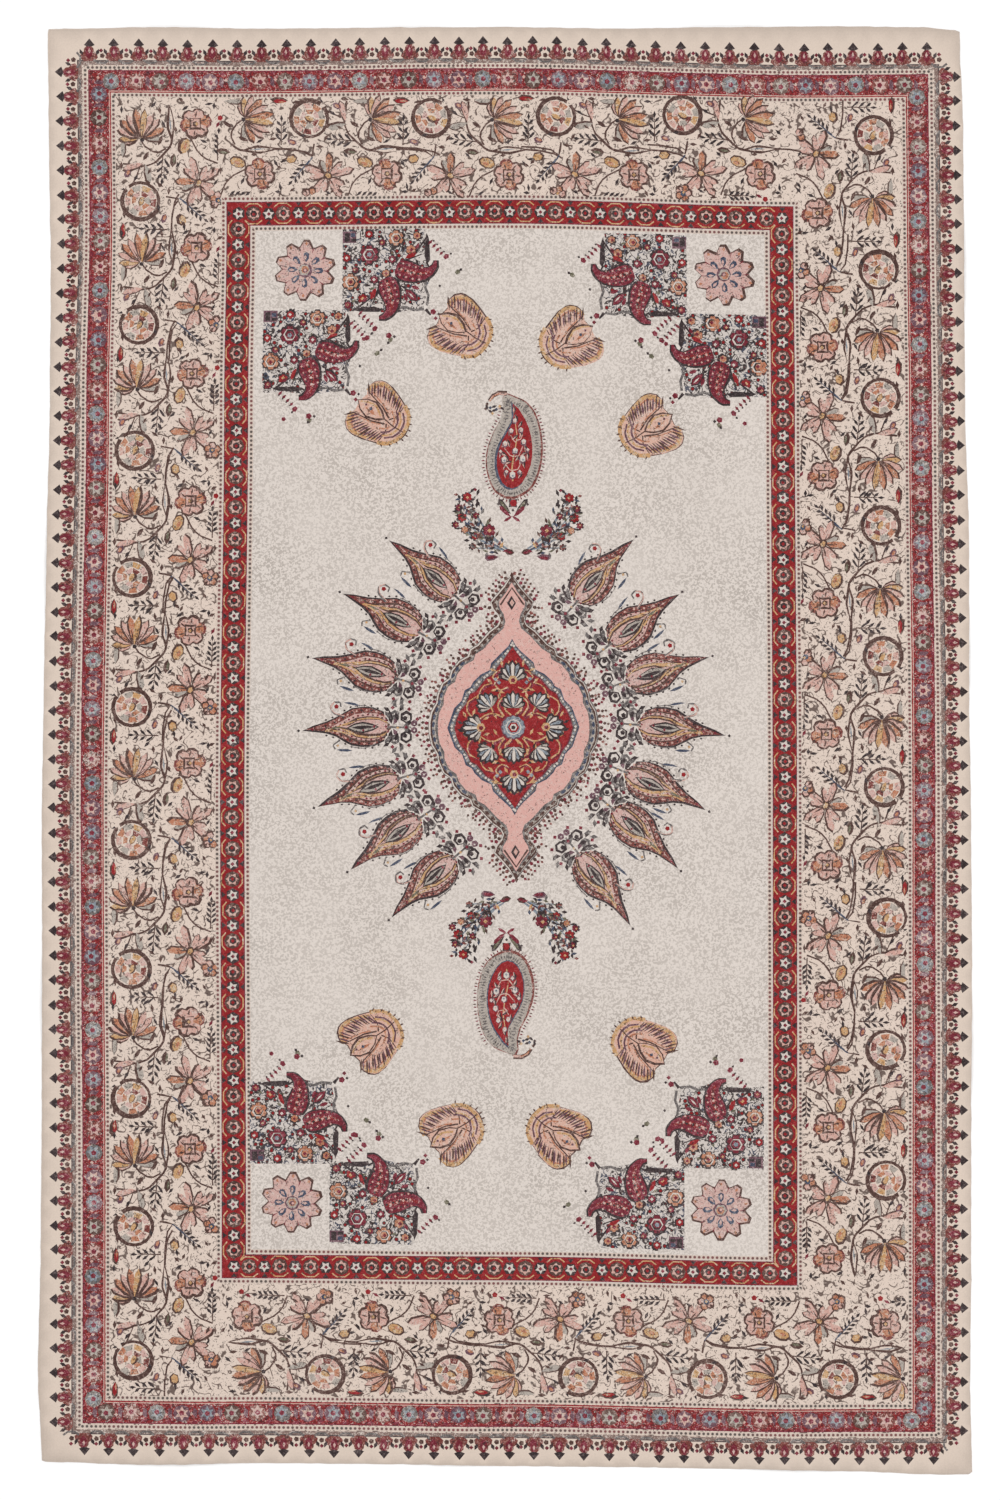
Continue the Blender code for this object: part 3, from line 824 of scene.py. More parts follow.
def medallion_block():
    """The lobed medallion with its two pendants. 0, 0 is its middle."""
    pink = [(0, 144), (5.6, 134), (13, 124.6), (12.2, 119), (8.4, 112.6), (6.6, 105), (8.8, 98), (17, 91), (29, 77.6), (36.6, 73), (38.4, 67),
            (48, 62), (54.6, 53.6), (57, 46), (64, 41), (68.4, 31), (68.4, 24), (73, 15), (74.4, 6), (74.6, 0)]
    edge = [(0, 151), (7, 140), (14, 131.4), (20.4, 124.6), (18, 118), (13, 112), (11.4, 106), (13.8, 101), (22, 95), (33.6, 82), (41, 77.6),
            (43, 71), (52.4, 66), (59.6, 57), (61.6, 49.4), (69, 44), (73.6, 33), (74.6, 25.6), (80, 16), (82, 6), (82.4, 0)]
    line = [(x + 1.7 * (1 if x else 0), y + 1.2) for x, y in edge]
    marks = [("thin_black", four_ways(line)), ("spared_cotton", four_ways([(x + 0.8 * (1 if x else 0), y + 0.5) for x, y in edge])),
             ("brown", four_ways(edge))]
    def between(share):
        return four_ways([(x * share + p * (1 - share), y * share + q * (1 - share)) for (x, y), (p, q) in zip(edge, [*pink, pink[-1]])])

    marks += [("stone_grey", between(0.78)), ("thin_black", between(0.34)), ("soft_pink", four_ways(pink))]
    outline = four_ways(edge)
    for row, (reach, radius) in enumerate(((3.6, 2.3), (7.4, 2.0), (10.8, 1.7))):
        for i, (x, y, heading) in enumerate(stations(outline, 5.4 + 0.3 * row, 2.7 * (row % 2), True)):
            outward = heading + math.pi / 2
            place = (x + reach * math.cos(outward), y + reach * math.sin(outward))
            marks.append((("rust", "brown", "crimson", "brown")[(i + row) % 4], oval(radius, place, 0.86, math.degrees(outward))))
    for x, y, heading in stations(between(0.56), 7.6, 2.0, True):
        marks.append(("indigo" if abs(y) < 66 else "brown", oval(3.3, (x, y), 0.5, math.degrees(heading))))
    beaded = [(0, 88), (3.6, 81), (9, 75), (16.6, 68.6), (21, 64), (22.6, 57), (31.6, 52.6), (38.8, 45.6), (41.4, 40.6), (47.4, 37.4),
              (50.6, 27), (58, 19.6), (62, 9.4), (65, 0)]
    red = [(0, 80), (4.6, 72), (9, 66), (14.6, 59.6), (17.6, 53), (26, 48.6), (32, 41.6), (36, 36.4), (42, 33.4), (46, 23.6), (52, 16.6), (55.4, 8), (57.6, 0)]
    marks += [("indigo", four_ways(beaded)), ("thin_black", four_ways([(x * 0.97, y * 0.975) for x, y in beaded]))]
    middle = four_ways([(x * 0.5 + p * 0.5, y * 0.5 + q * 0.5) for (x, y), (p, q) in zip(beaded[:-1], red)] + [(61.2, 0)])
    for i, (x, y, heading) in enumerate(stations(middle, 3.5, 0.0, True)):
        marks.append((("spared_cotton", "spared_cotton", "grey_blue")[i % 3], oval(1.45, (x, y))))
    marks += [("crimson", four_ways([(x + 0.8 * (1 if x else 0), y + 0.8 * (1 if y else 0)) for x, y in red])), ("madder_red", four_ways(red))]
    for sx in (-1, 1):
        for sy in (-1, 1):
            for points in (
                [(4, 52), (13, 51), (18, 43), (12, 37), (5, 40)],
                [(10, 10), (19, 14), (28, 12), (37, 4), (28, 0)],
                [(9, 11), (15, 20), (12, 28), (4, 32)],
                [(20, 15), (24, 25), (33, 33), (28, 42), (20, 44)],
                [(36, 6), (45, 16), (44, 26), (36, 31)],
                [(2, 12), (8, 17), (8, 24), (2, 30)],
                [(15, 46), (20, 50), (15, 56), (8, 58), (3, 66)],
            ):
                path = smooth([(sx * x, sy * y) for x, y in points], 2)
                marks.append(("crimson", stroke([(x + 1.1, y - 1.1) for x, y in path], 2.6, 1.6)))
                marks.append(("ochre", stroke(path, 1.7, 1.0)))
            for x, y, heading in ((13, 36, 20), (19, 22, 70), (31, 24, 130), (6, 46, 60), (40, 12, 110), (22, 36, 160), (10, 60, 80), (46, 10, 60),
                                  (16, 8, 60), (8, 18, 140), (25, 16, 20), (34, 16, 100), (14, 28, 100), (20, 44, 40), (36, 28, 120), (5, 56, 110),
                                  (16, 56, 20), (30, 8, 160), (49, 4, 30), (8, 34, 20)):
                marks.append(("iron_black" if (x + y) % 2 else "ochre", leaf(7.4, 3.0, (sx * x, sy * y), heading if sx > 0 else 180 - heading)))
            for x, y in ((13.6, 44.6), (17, 48)):
                marks.append(("grey_blue", oval(2.2, (sx * x, sy * y))))
    for sy in (-1, 1):
        marks += bud((0, sy * 57), 90 * sy, 18.0, True) + bud((0, sy * 28), 90 * sy, 15.6, False)
        for sx in (-1, 1):
            marks += bud((sx * 27.6, sy * 27), 90 * sy + sx * sy * -40, 15.6, False)
    for sx in (-1, 1):
        marks += bud((sx * 42.0, 0), 90 - 90 * sx, 18.0, True)
    marks += [("plum", oval(12.2)), ("grey_blue", rosette(12, 11.6, 10.2)), ("spared_cotton", oval(8.0)), ("grey_blue", oval(7.0)),
              ("madder_red", oval(5.6)), ("spared_cotton", oval(3.7)), ("iron_black", oval(2.3))]
    for sy in (-1, 1):
        marks += [("brown", stroke([(-11.6, sy * 122), (0, sy * 139), (11.6, sy * 122)], 2.0)),
                  ("iron_black", [(0, sy * 131.4), (4.4, sy * 124), (0, sy * 116.8), (-4.4, sy * 124)]),
                  ("pale_pink", [(0, sy * 127.8), (2.3, sy * 124), (0, sy * 120.4), (-2.3, sy * 124)]),
                  ("brown", leaf(6, 4, (0, sy * 149), 90 * sy, 0.4))]
    return marks


def bud(at, heading, size, double):
    """A light lotus bud of the medallion."""
    marks = []
    turn = math.radians(heading)
    foot = (at[0] - size * 0.55 * math.cos(turn), at[1] - size * 0.55 * math.sin(turn))
    for lean, ink in ((-66, "stone_grey"), (66, "stone_grey"), (-42, "spared_cotton"), (42, "spared_cotton"), (-20, "grey_blue"), (20, "grey_blue"), (0, "spared_cotton")):
        marks.append(("iron_black", leaf(size * (1.14 - abs(lean) * 0.004), size * 0.42, foot, heading + lean, 0.6)))
        marks.append((ink, leaf(size * (0.98 - abs(lean) * 0.004), size * 0.24, foot, heading + lean, 0.6)))
    if double:
        marks += [("ochre", oval(size * 0.26, foot)), ("crimson", oval(size * 0.14, foot))]
    return marks


class PrintingTable:
    """Collects every mark of ink on the layout, in the order of printing."""

    def __init__(self, seed):
        self.points = []
        self.faces = []
        self.marks = []
        self.draw = random.Random(seed)

    def lay(self, ink, outline, load=1.0, band=None):
        """One mark. band says that it is a guard line: whether it runs down, and the middle of its width."""
        area = sum(x0 * y1 - x1 * y0 for (x0, y0), (x1, y1) in zip(outline, outline[1:] + outline[:1]))
        if abs(area) < 0.05:
            return
        if area < 0:
            outline = outline[::-1]
        first = len(self.points)
        self.points.extend(outline)
        self.faces.append(list(range(first, first + len(outline))))
        self.marks.append((ink, load, band))

    def stamp(self, block, at, turn=0.0, size=1.0, flip=False, flip_up=False, load=(0.88, 1.0), slip=0.35, keep=None):
        """Prints a block at a place of the cloth, with the small slips that each ink's block makes."""
        draw = self.draw
        at_x, at_y = unwander(at[0] + draw.uniform(-slip, slip), at[1] + draw.uniform(-slip, slip))
        angle = math.radians(turn + draw.uniform(-0.5, 0.5))
        cos, sin = math.cos(angle) * size, math.sin(angle) * size
        strength = draw.uniform(*load)
        slips = {}
        for ink, outline in block:
            if ink not in slips:
                slips[ink] = (draw.gauss(0, slip), draw.gauss(0, slip), strength * draw.uniform(0.92, 1.0))
            dx, dy, ink_load = slips[ink]
            placed = []
            for x, y in outline:
                x, y = (-x if flip else x), (-y if flip_up else y)
                placed.append((at_x + dx + cos * x - sin * y, at_y + dy - (sin * x + cos * y)))
            if keep:
                middle_x = sum(p[0] for p in placed) / len(placed)
                middle_y = sum(p[1] for p in placed) / len(placed)
                if not keep(middle_x, middle_y):
                    continue
            self.lay(ink, placed, ink_load)

    def ring(self, ink, outside, inside, load=1.0, guard=False):
        """A band between two boxes, mitred at its corners."""
        (x0, y0, x1, y1), (a0, b0, a1, b1) = outside, inside

        def side(start, end, inner_end, inner_start, down):
            steps = max(2, round(math.dist(start, end) / 30))
            outer = [(start[0] + (end[0] - start[0]) * i / steps, start[1] + (end[1] - start[1]) * i / steps) for i in range(steps + 1)]
            inner = [(inner_end[0] + (inner_start[0] - inner_end[0]) * i / steps, inner_end[1] + (inner_start[1] - inner_end[1]) * i / steps)
                     for i in range(steps + 1)]
            middle = (start[0] + inner_start[0]) / 2 if down else (start[1] + inner_start[1]) / 2
            self.lay(ink, outer + inner, load, (down, middle) if guard else None)

        side((x0, y0), (x1, y0), (a1, b0), (a0, b0), False)
        side((x1, y1), (x0, y1), (a0, b1), (a1, b1), False)
        side((x1, y0), (x1, y1), (a1, b1), (a1, b0), True)
        side((x0, y1), (x0, y0), (a0, b0), (a0, b1), True)


def box_outline(box, step=30):
    x0, y0, x1, y1 = box
    corners = [(x0, y0), (x1, y0), (x1, y1), (x0, y1)]
    outline = []
    for (ax, ay), (bx, by) in zip(corners, corners[1:] + corners[:1]):
        steps = max(1, round(math.dist((ax, ay), (bx, by)) / step))
        outline += [(ax + (bx - ax) * i / steps, ay + (by - ay) * i / steps) for i in range(steps)]
    return outline


def print_bands(table):
    table.lay("border_cotton", box_outline(EDGING_INSIDE))
    table.lay("field_cotton", box_outline(FIELD_GUARD_INSIDE))
    table.ring("brown", EDGING_OUTSIDE, EDGING_INSIDE, 0.46)
    table.ring("iron_black", EDGING_OUTSIDE, tuple(v + d for v, d in zip(EDGING_OUTSIDE, (1.2, 1.2, -1.2, -1.2))), 0.7)
    table.ring("dotted_guard", OUTER_GUARD_OUTSIDE, OUTER_GUARD_INSIDE, guard=True)
    table.ring("worn_red", OUTER_RED_OUTSIDE, OUTER_RED_INSIDE, 0.95)
    for inset, ink, thick in ((0.0, "crimson", 1.3), (20.6, "pale_pink", 0.9), (21.5, "madder_red", 1.1)):
        outside = tuple(v + d * inset for v, d in zip(OUTER_RED_OUTSIDE, (1, 1, -1, -1)))
        table.ring(ink, outside, tuple(v + d * thick for v, d in zip(outside, (1, 1, -1, -1))), 0.85)
    table.ring("dotted_guard", SECOND_GUARD_OUTSIDE, SECOND_GUARD_INSIDE, guard=True)
    table.ring("dotted_guard", THIRD_GUARD_OUTSIDE, THIRD_GUARD_INSIDE, guard=True)
    table.ring("madder_red", INNER_RED_OUTSIDE, INNER_RED_INSIDE, 0.95)
    for inset, ink, thick in ((-1.2, "spared_cotton", 1.2), (0.0, "crimson", 1.0), (22.8, "crimson", 1.0), (24.0, "spared_cotton", 1.0)):
        outside = tuple(v + d * inset for v, d in zip(INNER_RED_OUTSIDE, (1, 1, -1, -1)))
        table.ring(ink, outside, tuple(v + d * thick for v, d in zip(outside, (1, 1, -1, -1))), 0.9)
    table.ring("dotted_guard", FIELD_GUARD_OUTSIDE, FIELD_GUARD_INSIDE, guard=True)


def print_along(table, blocks, box, pitch, **choices):
    """Repeats blocks in turn along the four sides of a box, evenly and facing outwards."""
    x0, y0, x1, y1 = box
    for start, end, turn in (((x0, y0), (x1, y0), 0), ((x1, y0), (x1, y1), -90), ((x1, y1), (x0, y1), 180), ((x0, y1), (x0, y0), 90)):
        count = round(math.dist(start, end) / pitch)
        step = math.dist(start, end) / count
        for i in range(count):
            share = (i + 0.5) / count
            place = (start[0] + (end[0] - start[0]) * share, start[1] + (end[1] - start[1]) * share)
            table.stamp(blocks[i % len(blocks)], wander(*place), turn, step / pitch, **choices)


def print_borders(table):
    print_along(table, (finial_block(),), EDGING_OUTSIDE, 24.5, slip=0.3)
    flowers = [outer_band_block(petals, rim) for petals, rim in (("grey_blue", "thin_black"), ("dusty_pink", "rust"), ("stone_grey", "brown"),
                                                                 ("grey_blue", "plum"), ("pale_pink", "plum"))]
    print_along(table, flowers, tuple((a + b) / 2 for a, b in zip(OUTER_RED_OUTSIDE, OUTER_RED_INSIDE)), 24.5, slip=0.4, load=(0.62, 0.96))
    print_along(table, (inner_band_block(),), tuple((a + b) / 2 for a, b in zip(INNER_RED_OUTSIDE, INNER_RED_INSIDE)), 30.8,
                slip=0.25, load=(0.85, 1.0))
    block = vine_block(table.draw)
    x0, y0, x1, y1 = SECOND_GUARD_INSIDE
    inner_x0, inner_y0, inner_x1, inner_y1 = THIRD_GUARD_OUTSIDE
    inside = lambda x, y: x0 + 1 < x < x1 - 1 and y0 + 1 < y < y1 - 1 and not (inner_x0 - 1 < x < inner_x1 + 1 and inner_y0 - 1 < y < inner_y1 + 1)
    for x, y in ((182, 117), (309, 117), (431, 117), (556, 117), (682, 117)):
        table.stamp(block, (x + 60.8, y + 2.7), -90, keep=lambda a, b: inside(a, b) and b < inner_y0 and 221 < a < 797)
    for x, y in ((324, 1373), (451, 1373), (578, 1376), (707, 1378), (837, 1379), (964, 1380)):
        table.stamp(block, (x - 60.8, y - 1.7), 90, keep=lambda a, b: inside(a, b) and b > inner_y1 and a > 221)
    for x, y in ((140, 201), (140, 325), (135, 450), (134, 578), (133, 707), (132, 840), (131, 969), (132, 1098), (133, 1227), (133, 1360)):
        table.stamp(block, (x + 1.7, y - 60.8), 0, keep=lambda a, b: inside(a, b) and a < inner_x0)
    for x, y in ((874, 135), (879, 270), (880, 398), (881, 526), (883, 657), (884, 787), (886, 918), (886, 1050), (886, 1180)):
        table.stamp(block, (x - 1.7, y + 60.8), 180, keep=lambda a, b: inside(a, b) and a > inner_x1 and b < inner_y1)


# The middle of each boteh's body, and its tip
BOTEH_PLACES = (
    ((434, 577), (392, 538)), ((397, 619), (346, 590)), ((367, 670), (314, 654)), ((365, 727), (303, 727)), ((378, 785), (317, 803)),
    ((400, 832), (349, 867)), ((432, 877), (390, 915)), ((590, 585), (631, 536)), ((640, 620), (676, 590)), ((655, 672), (707, 652)),
    ((665, 727), (724, 730)), ((655, 785), (706, 805)), ((635, 828), (679, 865)), ((595, 875), (632, 922)),
)


# How far a boteh's tip is from the middle of its block
BOTEH_TIP = 51


def print_field(table):
    draw = table.draw
    rosette_block = field_rosette()
    corner, tulip, boteh, spray = corner_block(draw), tulip_block(), boteh_block(), spray_block(draw)
    for x, y, flip, flip_up in ((305, 270, False, False), (724, 275, True, False), (292, 1203, False, True), (721, 1210, True, True)):
        across, down = (-1 if flip else 1), (-1 if flip_up else 1)
        table.stamp(rosette_block, (x, y), draw.uniform(-4, 4))
        for dx, dy in ((36, -41), (-43, 39)):
            table.stamp(corner, (x + dx * across, y + dy * down), flip=flip, flip_up=flip_up)
    for x, y, turn in ((459, 327, 57), (377, 414, 53), (573, 339, -57), (652, 427, -57), (369, 1041, 127), (450, 1133, 125), (645, 1049, -127), (560, 1136, -125)):
        table.stamp(tulip, (x, y), turn, 1.0, flip=(turn < 0))
    for (x0, y0), (x1, y1) in BOTEH_PLACES:
        dx, dy = x1 - x0, y0 - y1
        reach = BOTEH_TIP / math.hypot(dx, dy)
        middle = (x1 - dx * reach, y1 + dy * reach)
        table.stamp(boteh, middle, math.degrees(math.atan2(dy, dx)) - 90, 0.98, flip=dx > 0)
    table.stamp(large_paisley_block(), (515, 448), 0)
    table.stamp(large_paisley_block(), (505, 1002), 180)
    for x, y, flip, flip_up in ((511, 552, False, False), (525, 552, True, False), (508, 900, False, True), (520, 900, True, True)):
        table.stamp(spray, (x, y), 0, 1.0, flip=flip, flip_up=flip_up)
    table.stamp(medallion_block(), (513.5, 727.5), 0.6, slip=0.25, load=(0.94, 1.0))


def cloth_outline(cad, step, waver):
    """The cut edge on the ideal layout, from the frame's own lower rim, with a thread's wavering."""
    copy = bmesh.new()
    copy.from_mesh(cad.data)
    bmesh.ops.remove_doubles(copy, verts=copy.verts, dist=1e-6)
    copy.normal_update()
    rim = set()
    for edge in copy.edges:
        if len(edge.link_faces) == 2:
            slopes = sorted(face.normal.z for face in edge.link_faces)
            if slopes[0] < -0.7 and abs(slopes[1]) < 0.5:
                rim.update(edge.verts)
    corners = sorted(((v.co.x, v.co.y) for v in rim), key=lambda p: math.atan2(p[1], p[0]))
    copy.free()
    if len(corners) < 40:
        raise RuntimeError("The frame's cloth has no clear rim")
    outline = []
    for x, y, heading in stations(corners, step, 0.0, True):
        place = Vector((x, y, 0.0))
        slip = waver * (noise.noise(place * 55.0) + 0.6 * noise.noise(place * 260.0))
        x, y = x + slip * math.sin(heading), y - slip * math.cos(heading)
        outline.append(unwander(x / UNIT + LAYOUT_MIDDLE[0], LAYOUT_MIDDLE[1] - y / UNIT))
    if math.dist(outline[0], outline[-1]) < step / UNIT * 0.4:
        outline.pop()
    return outline[::-1]


def on_cloth(x, y):
    """X and Y in metres of a point of the ideal layout."""
    there_x, there_y = wander(x, y)
    return (there_x - LAYOUT_MIDDLE[0]) * UNIT, (LAYOUT_MIDDLE[1] - there_y) * UNIT


def loose_points(step):
    """A net of points that lets the sheet follow its ripples."""
    return [(x, y) for x in range(40, 975, step) for y in range(20, 1480, step)]


def lies_within(x, y, outline):
    inside = False
    ax, ay = outline[-1]
    for bx, by in outline:
        if (ay > y) != (by > y) and x < (bx - ax) * (y - ay) / (by - ay) + ax:
            inside = not inside
        ax, ay = bx, by
    return inside


def cut_marks(table):
    """Cuts all marks out of the layout. Returns the points, the triangles and the top mark of each triangle."""
    points, _, triangles, _, _, covers = delaunay_2d_cdt([Vector(p) for p in table.points], [], table.faces, 0, 1e-6, True)
    outlines = [[table.points[i] for i in face] for face in table.faces]
    boxes = [(min(x for x, _ in o), min(y for _, y in o), max(x for x, _ in o), max(y for _, y in o)) for o in outlines]
    tops = []
    for triangle, cover in zip(triangles, covers):
        x, y = (sum(points[i][axis] for i in triangle) / 3 for axis in (0, 1))
        top = None
        for mark in sorted(cover, reverse=True):
            left, low, right, high = boxes[mark]
            if left < x < right and low < y < high and lies_within(x, y, outlines[mark]):
                top = mark
                break
        tops.append(top)
    return points, triangles, tops


def visible_lines(table, points, triangles, tops, tolerance):
    """The lines between different inks that are left to see, without the points that hardly bend them."""
    looks = [(table.marks[top][0], table.marks[top][2]) if top is not None else None for top in tops]
    sides = {}
    for number, triangle in enumerate(triangles):
        for a, b in zip(triangle, (*triangle[1:], triangle[0])):
            sides.setdefault((min(a, b), max(a, b)), set()).add(looks[number])
    near = {}
    for (a, b), both in sides.items():
        if len(both) > 1:
            near.setdefault(a, set()).add(b)
            near.setdefault(b, set()).add(a)
    for limit in (tolerance * 0.4, tolerance * 0.7, tolerance):
        for middle in list(near):
            if len(near[middle]) != 2:
                continue
            a, b = near[middle]
            chord = points[b] - points[a]
            if b in near[a] or chord.length > 45 or chord.length == 0:
                continue
            offset = points[middle] - points[a]
            if abs(offset.x * chord.y - offset.y * chord.x) / chord.length < limit:
                near[a].discard(middle)
                near[b].discard(middle)
                near[a].add(b)
                near[b].add(a)
                del near[middle]
    numbers = {old: new for new, old in enumerate(near)}
    lines = [(numbers[a], numbers[b]) for a in near for b in near[a] if a < b]
    return [points[old] for old in near], lines


def cut_sheet(outline, points, lines, spare):
    """Triangles of the sheet along the lines, and where the outline's points ended up."""
    first = len(outline)
    every = [Vector(p) for p in [*outline, *points, *spare]]
    edges = [(a + first, b + first) for a, b in lines]
    verts, _, triangles, sources, _, covers = delaunay_2d_cdt(every, edges, [list(range(first))], 0, 1e-6, True)
    home = {}
    for index, origins in enumerate(sources):
        for origin in origins:
            if origin < first:
                home[origin] = index
    kept = [triangle for triangle, cover in zip(triangles, covers) if cover]
    return verts, kept, [home[i] for i in range(first)]


def build_cloth_mesh(settings):
    """The sheet as one closed mesh, with the print cut into its upper face."""
    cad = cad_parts["printed_cloth"]
    table = PrintingTable(11)
    print_bands(table)
    print_borders(table)
    print_field(table)
    outline = cloth_outline(cad, 0.008, settings.edge_waver)
    marked = cut_marks(table)
    print_points, print_lines = visible_lines(table, *marked, 0.55)
    top_points, top_faces, top_rim = cut_sheet(outline, print_points, print_lines, loose_points(29))
    low_points, low_faces, low_rim = cut_sheet(outline, [], [], loose_points(41))
    finder = BVHTree.FromPolygons([(p.x, p.y, 0.0) for p in marked[0]], marked[1])

    used = {}
    vertices, corners, ink_numbers, loads, layout = [], [], [], [], []

    def vertex(level, index, points):
        key = (level, index)
        if key not in used:
            x, y = on_cloth(*points[index])
            ripple = ripple_height(x, y) + 0.0002 * (1 + noise.noise(Vector((x * 9, y * 9, 3.0))))
            used[key] = len(vertices)
            vertices.append((x, y, ripple + (CLOTH_THICKNESS - 0.0004 if level else 0.0)))
        return used[key]

    for triangle in top_faces:
        x, y = (sum(top_points[i][axis] for i in triangle) / 3 for axis in (0, 1))
        number = finder.ray_cast((x, y, 1.0), (0.0, 0.0, -1.0))[2]
        top = None if number is None else marked[2][number]
        ink, load, band = ("washed_cotton", 1.0, None) if top is None else table.marks[top]
        corners.append([vertex(1, i, top_points) for i in reversed(triangle)])
        ink_numbers.append(INK_NUMBER[ink])
        loads.append(load)
        for i in reversed(triangle):
            x, y = top_points[i]
            if band:
                down, middle = band
                layout.append(((y if down else x) * UNIT, ((x if down else y) - middle) * UNIT))
            else:
                layout.append((x * UNIT, -y * UNIT))
    for triangle in low_faces:
        corners.append([vertex(0, i, low_points) for i in triangle])
        layout += [(low_points[i][0] * UNIT, -low_points[i][1] * UNIT) for i in triangle]
    for i in range(len(outline)):
        j = (i + 1) % len(outline)
        corners.append([vertex(1, top_rim[i], top_points), vertex(0, low_rim[i], low_points),
                        vertex(0, low_rim[j], low_points), vertex(1, top_rim[j], top_points)])
        layout += [(0.0, 0.0)] * 4
    plain = len(corners) - len(ink_numbers)
    ink_numbers += [INK_NUMBER["reverse_cotton"]] * plain
    loads += [1.0] * plain

    mesh = bpy.data.meshes.new("printed_cotton_cloth")
    mesh.from_pydata(vertices, [], corners)
    mesh.polygons.foreach_set("material_index", ink_numbers)
    mesh.polygons.foreach_set("use_smooth", [True] * len(corners))
    load_layer = mesh.attributes.new("ink_load", "FLOAT", "FACE")
    load_layer.data.foreach_set("value", loads)
    layout_map = mesh.uv_layers.new(name="print_layout")
    layout_map.data.foreach_set("uv", [value for pair in layout for value in pair])
    if mesh.validate(verbose=False):
        print("the cloth's mesh was mended")
    body = bmesh.new()
    body.from_mesh(mesh)
    bmesh.ops.recalc_face_normals(body, faces=body.faces)
    open_edges = sum(1 for edge in body.edges if not edge.is_manifold)
    body.to_mesh(mesh)
    body.free()
    print("cloth:", len(corners), "faces,", len(vertices), "points,", open_edges, "open edges,", len(table.marks), "marks")
    return mesh


# Materials


def add_node(tree, kind, inputs=None, **settings):
    """Adds one node. inputs maps a socket's name or number to a value or to another node's output."""
    made = tree.nodes.new(kind)
    for name, value in settings.items():
        setattr(made, name, value)
    for name, value in (inputs or {}).items():
        if isinstance(value, bpy.types.NodeSocket):
            tree.links.new(value, made.inputs[name])
        else:
            made.inputs[name].default_value = value
    return made


def rgba(colour):
    return (*colour, 1.0)


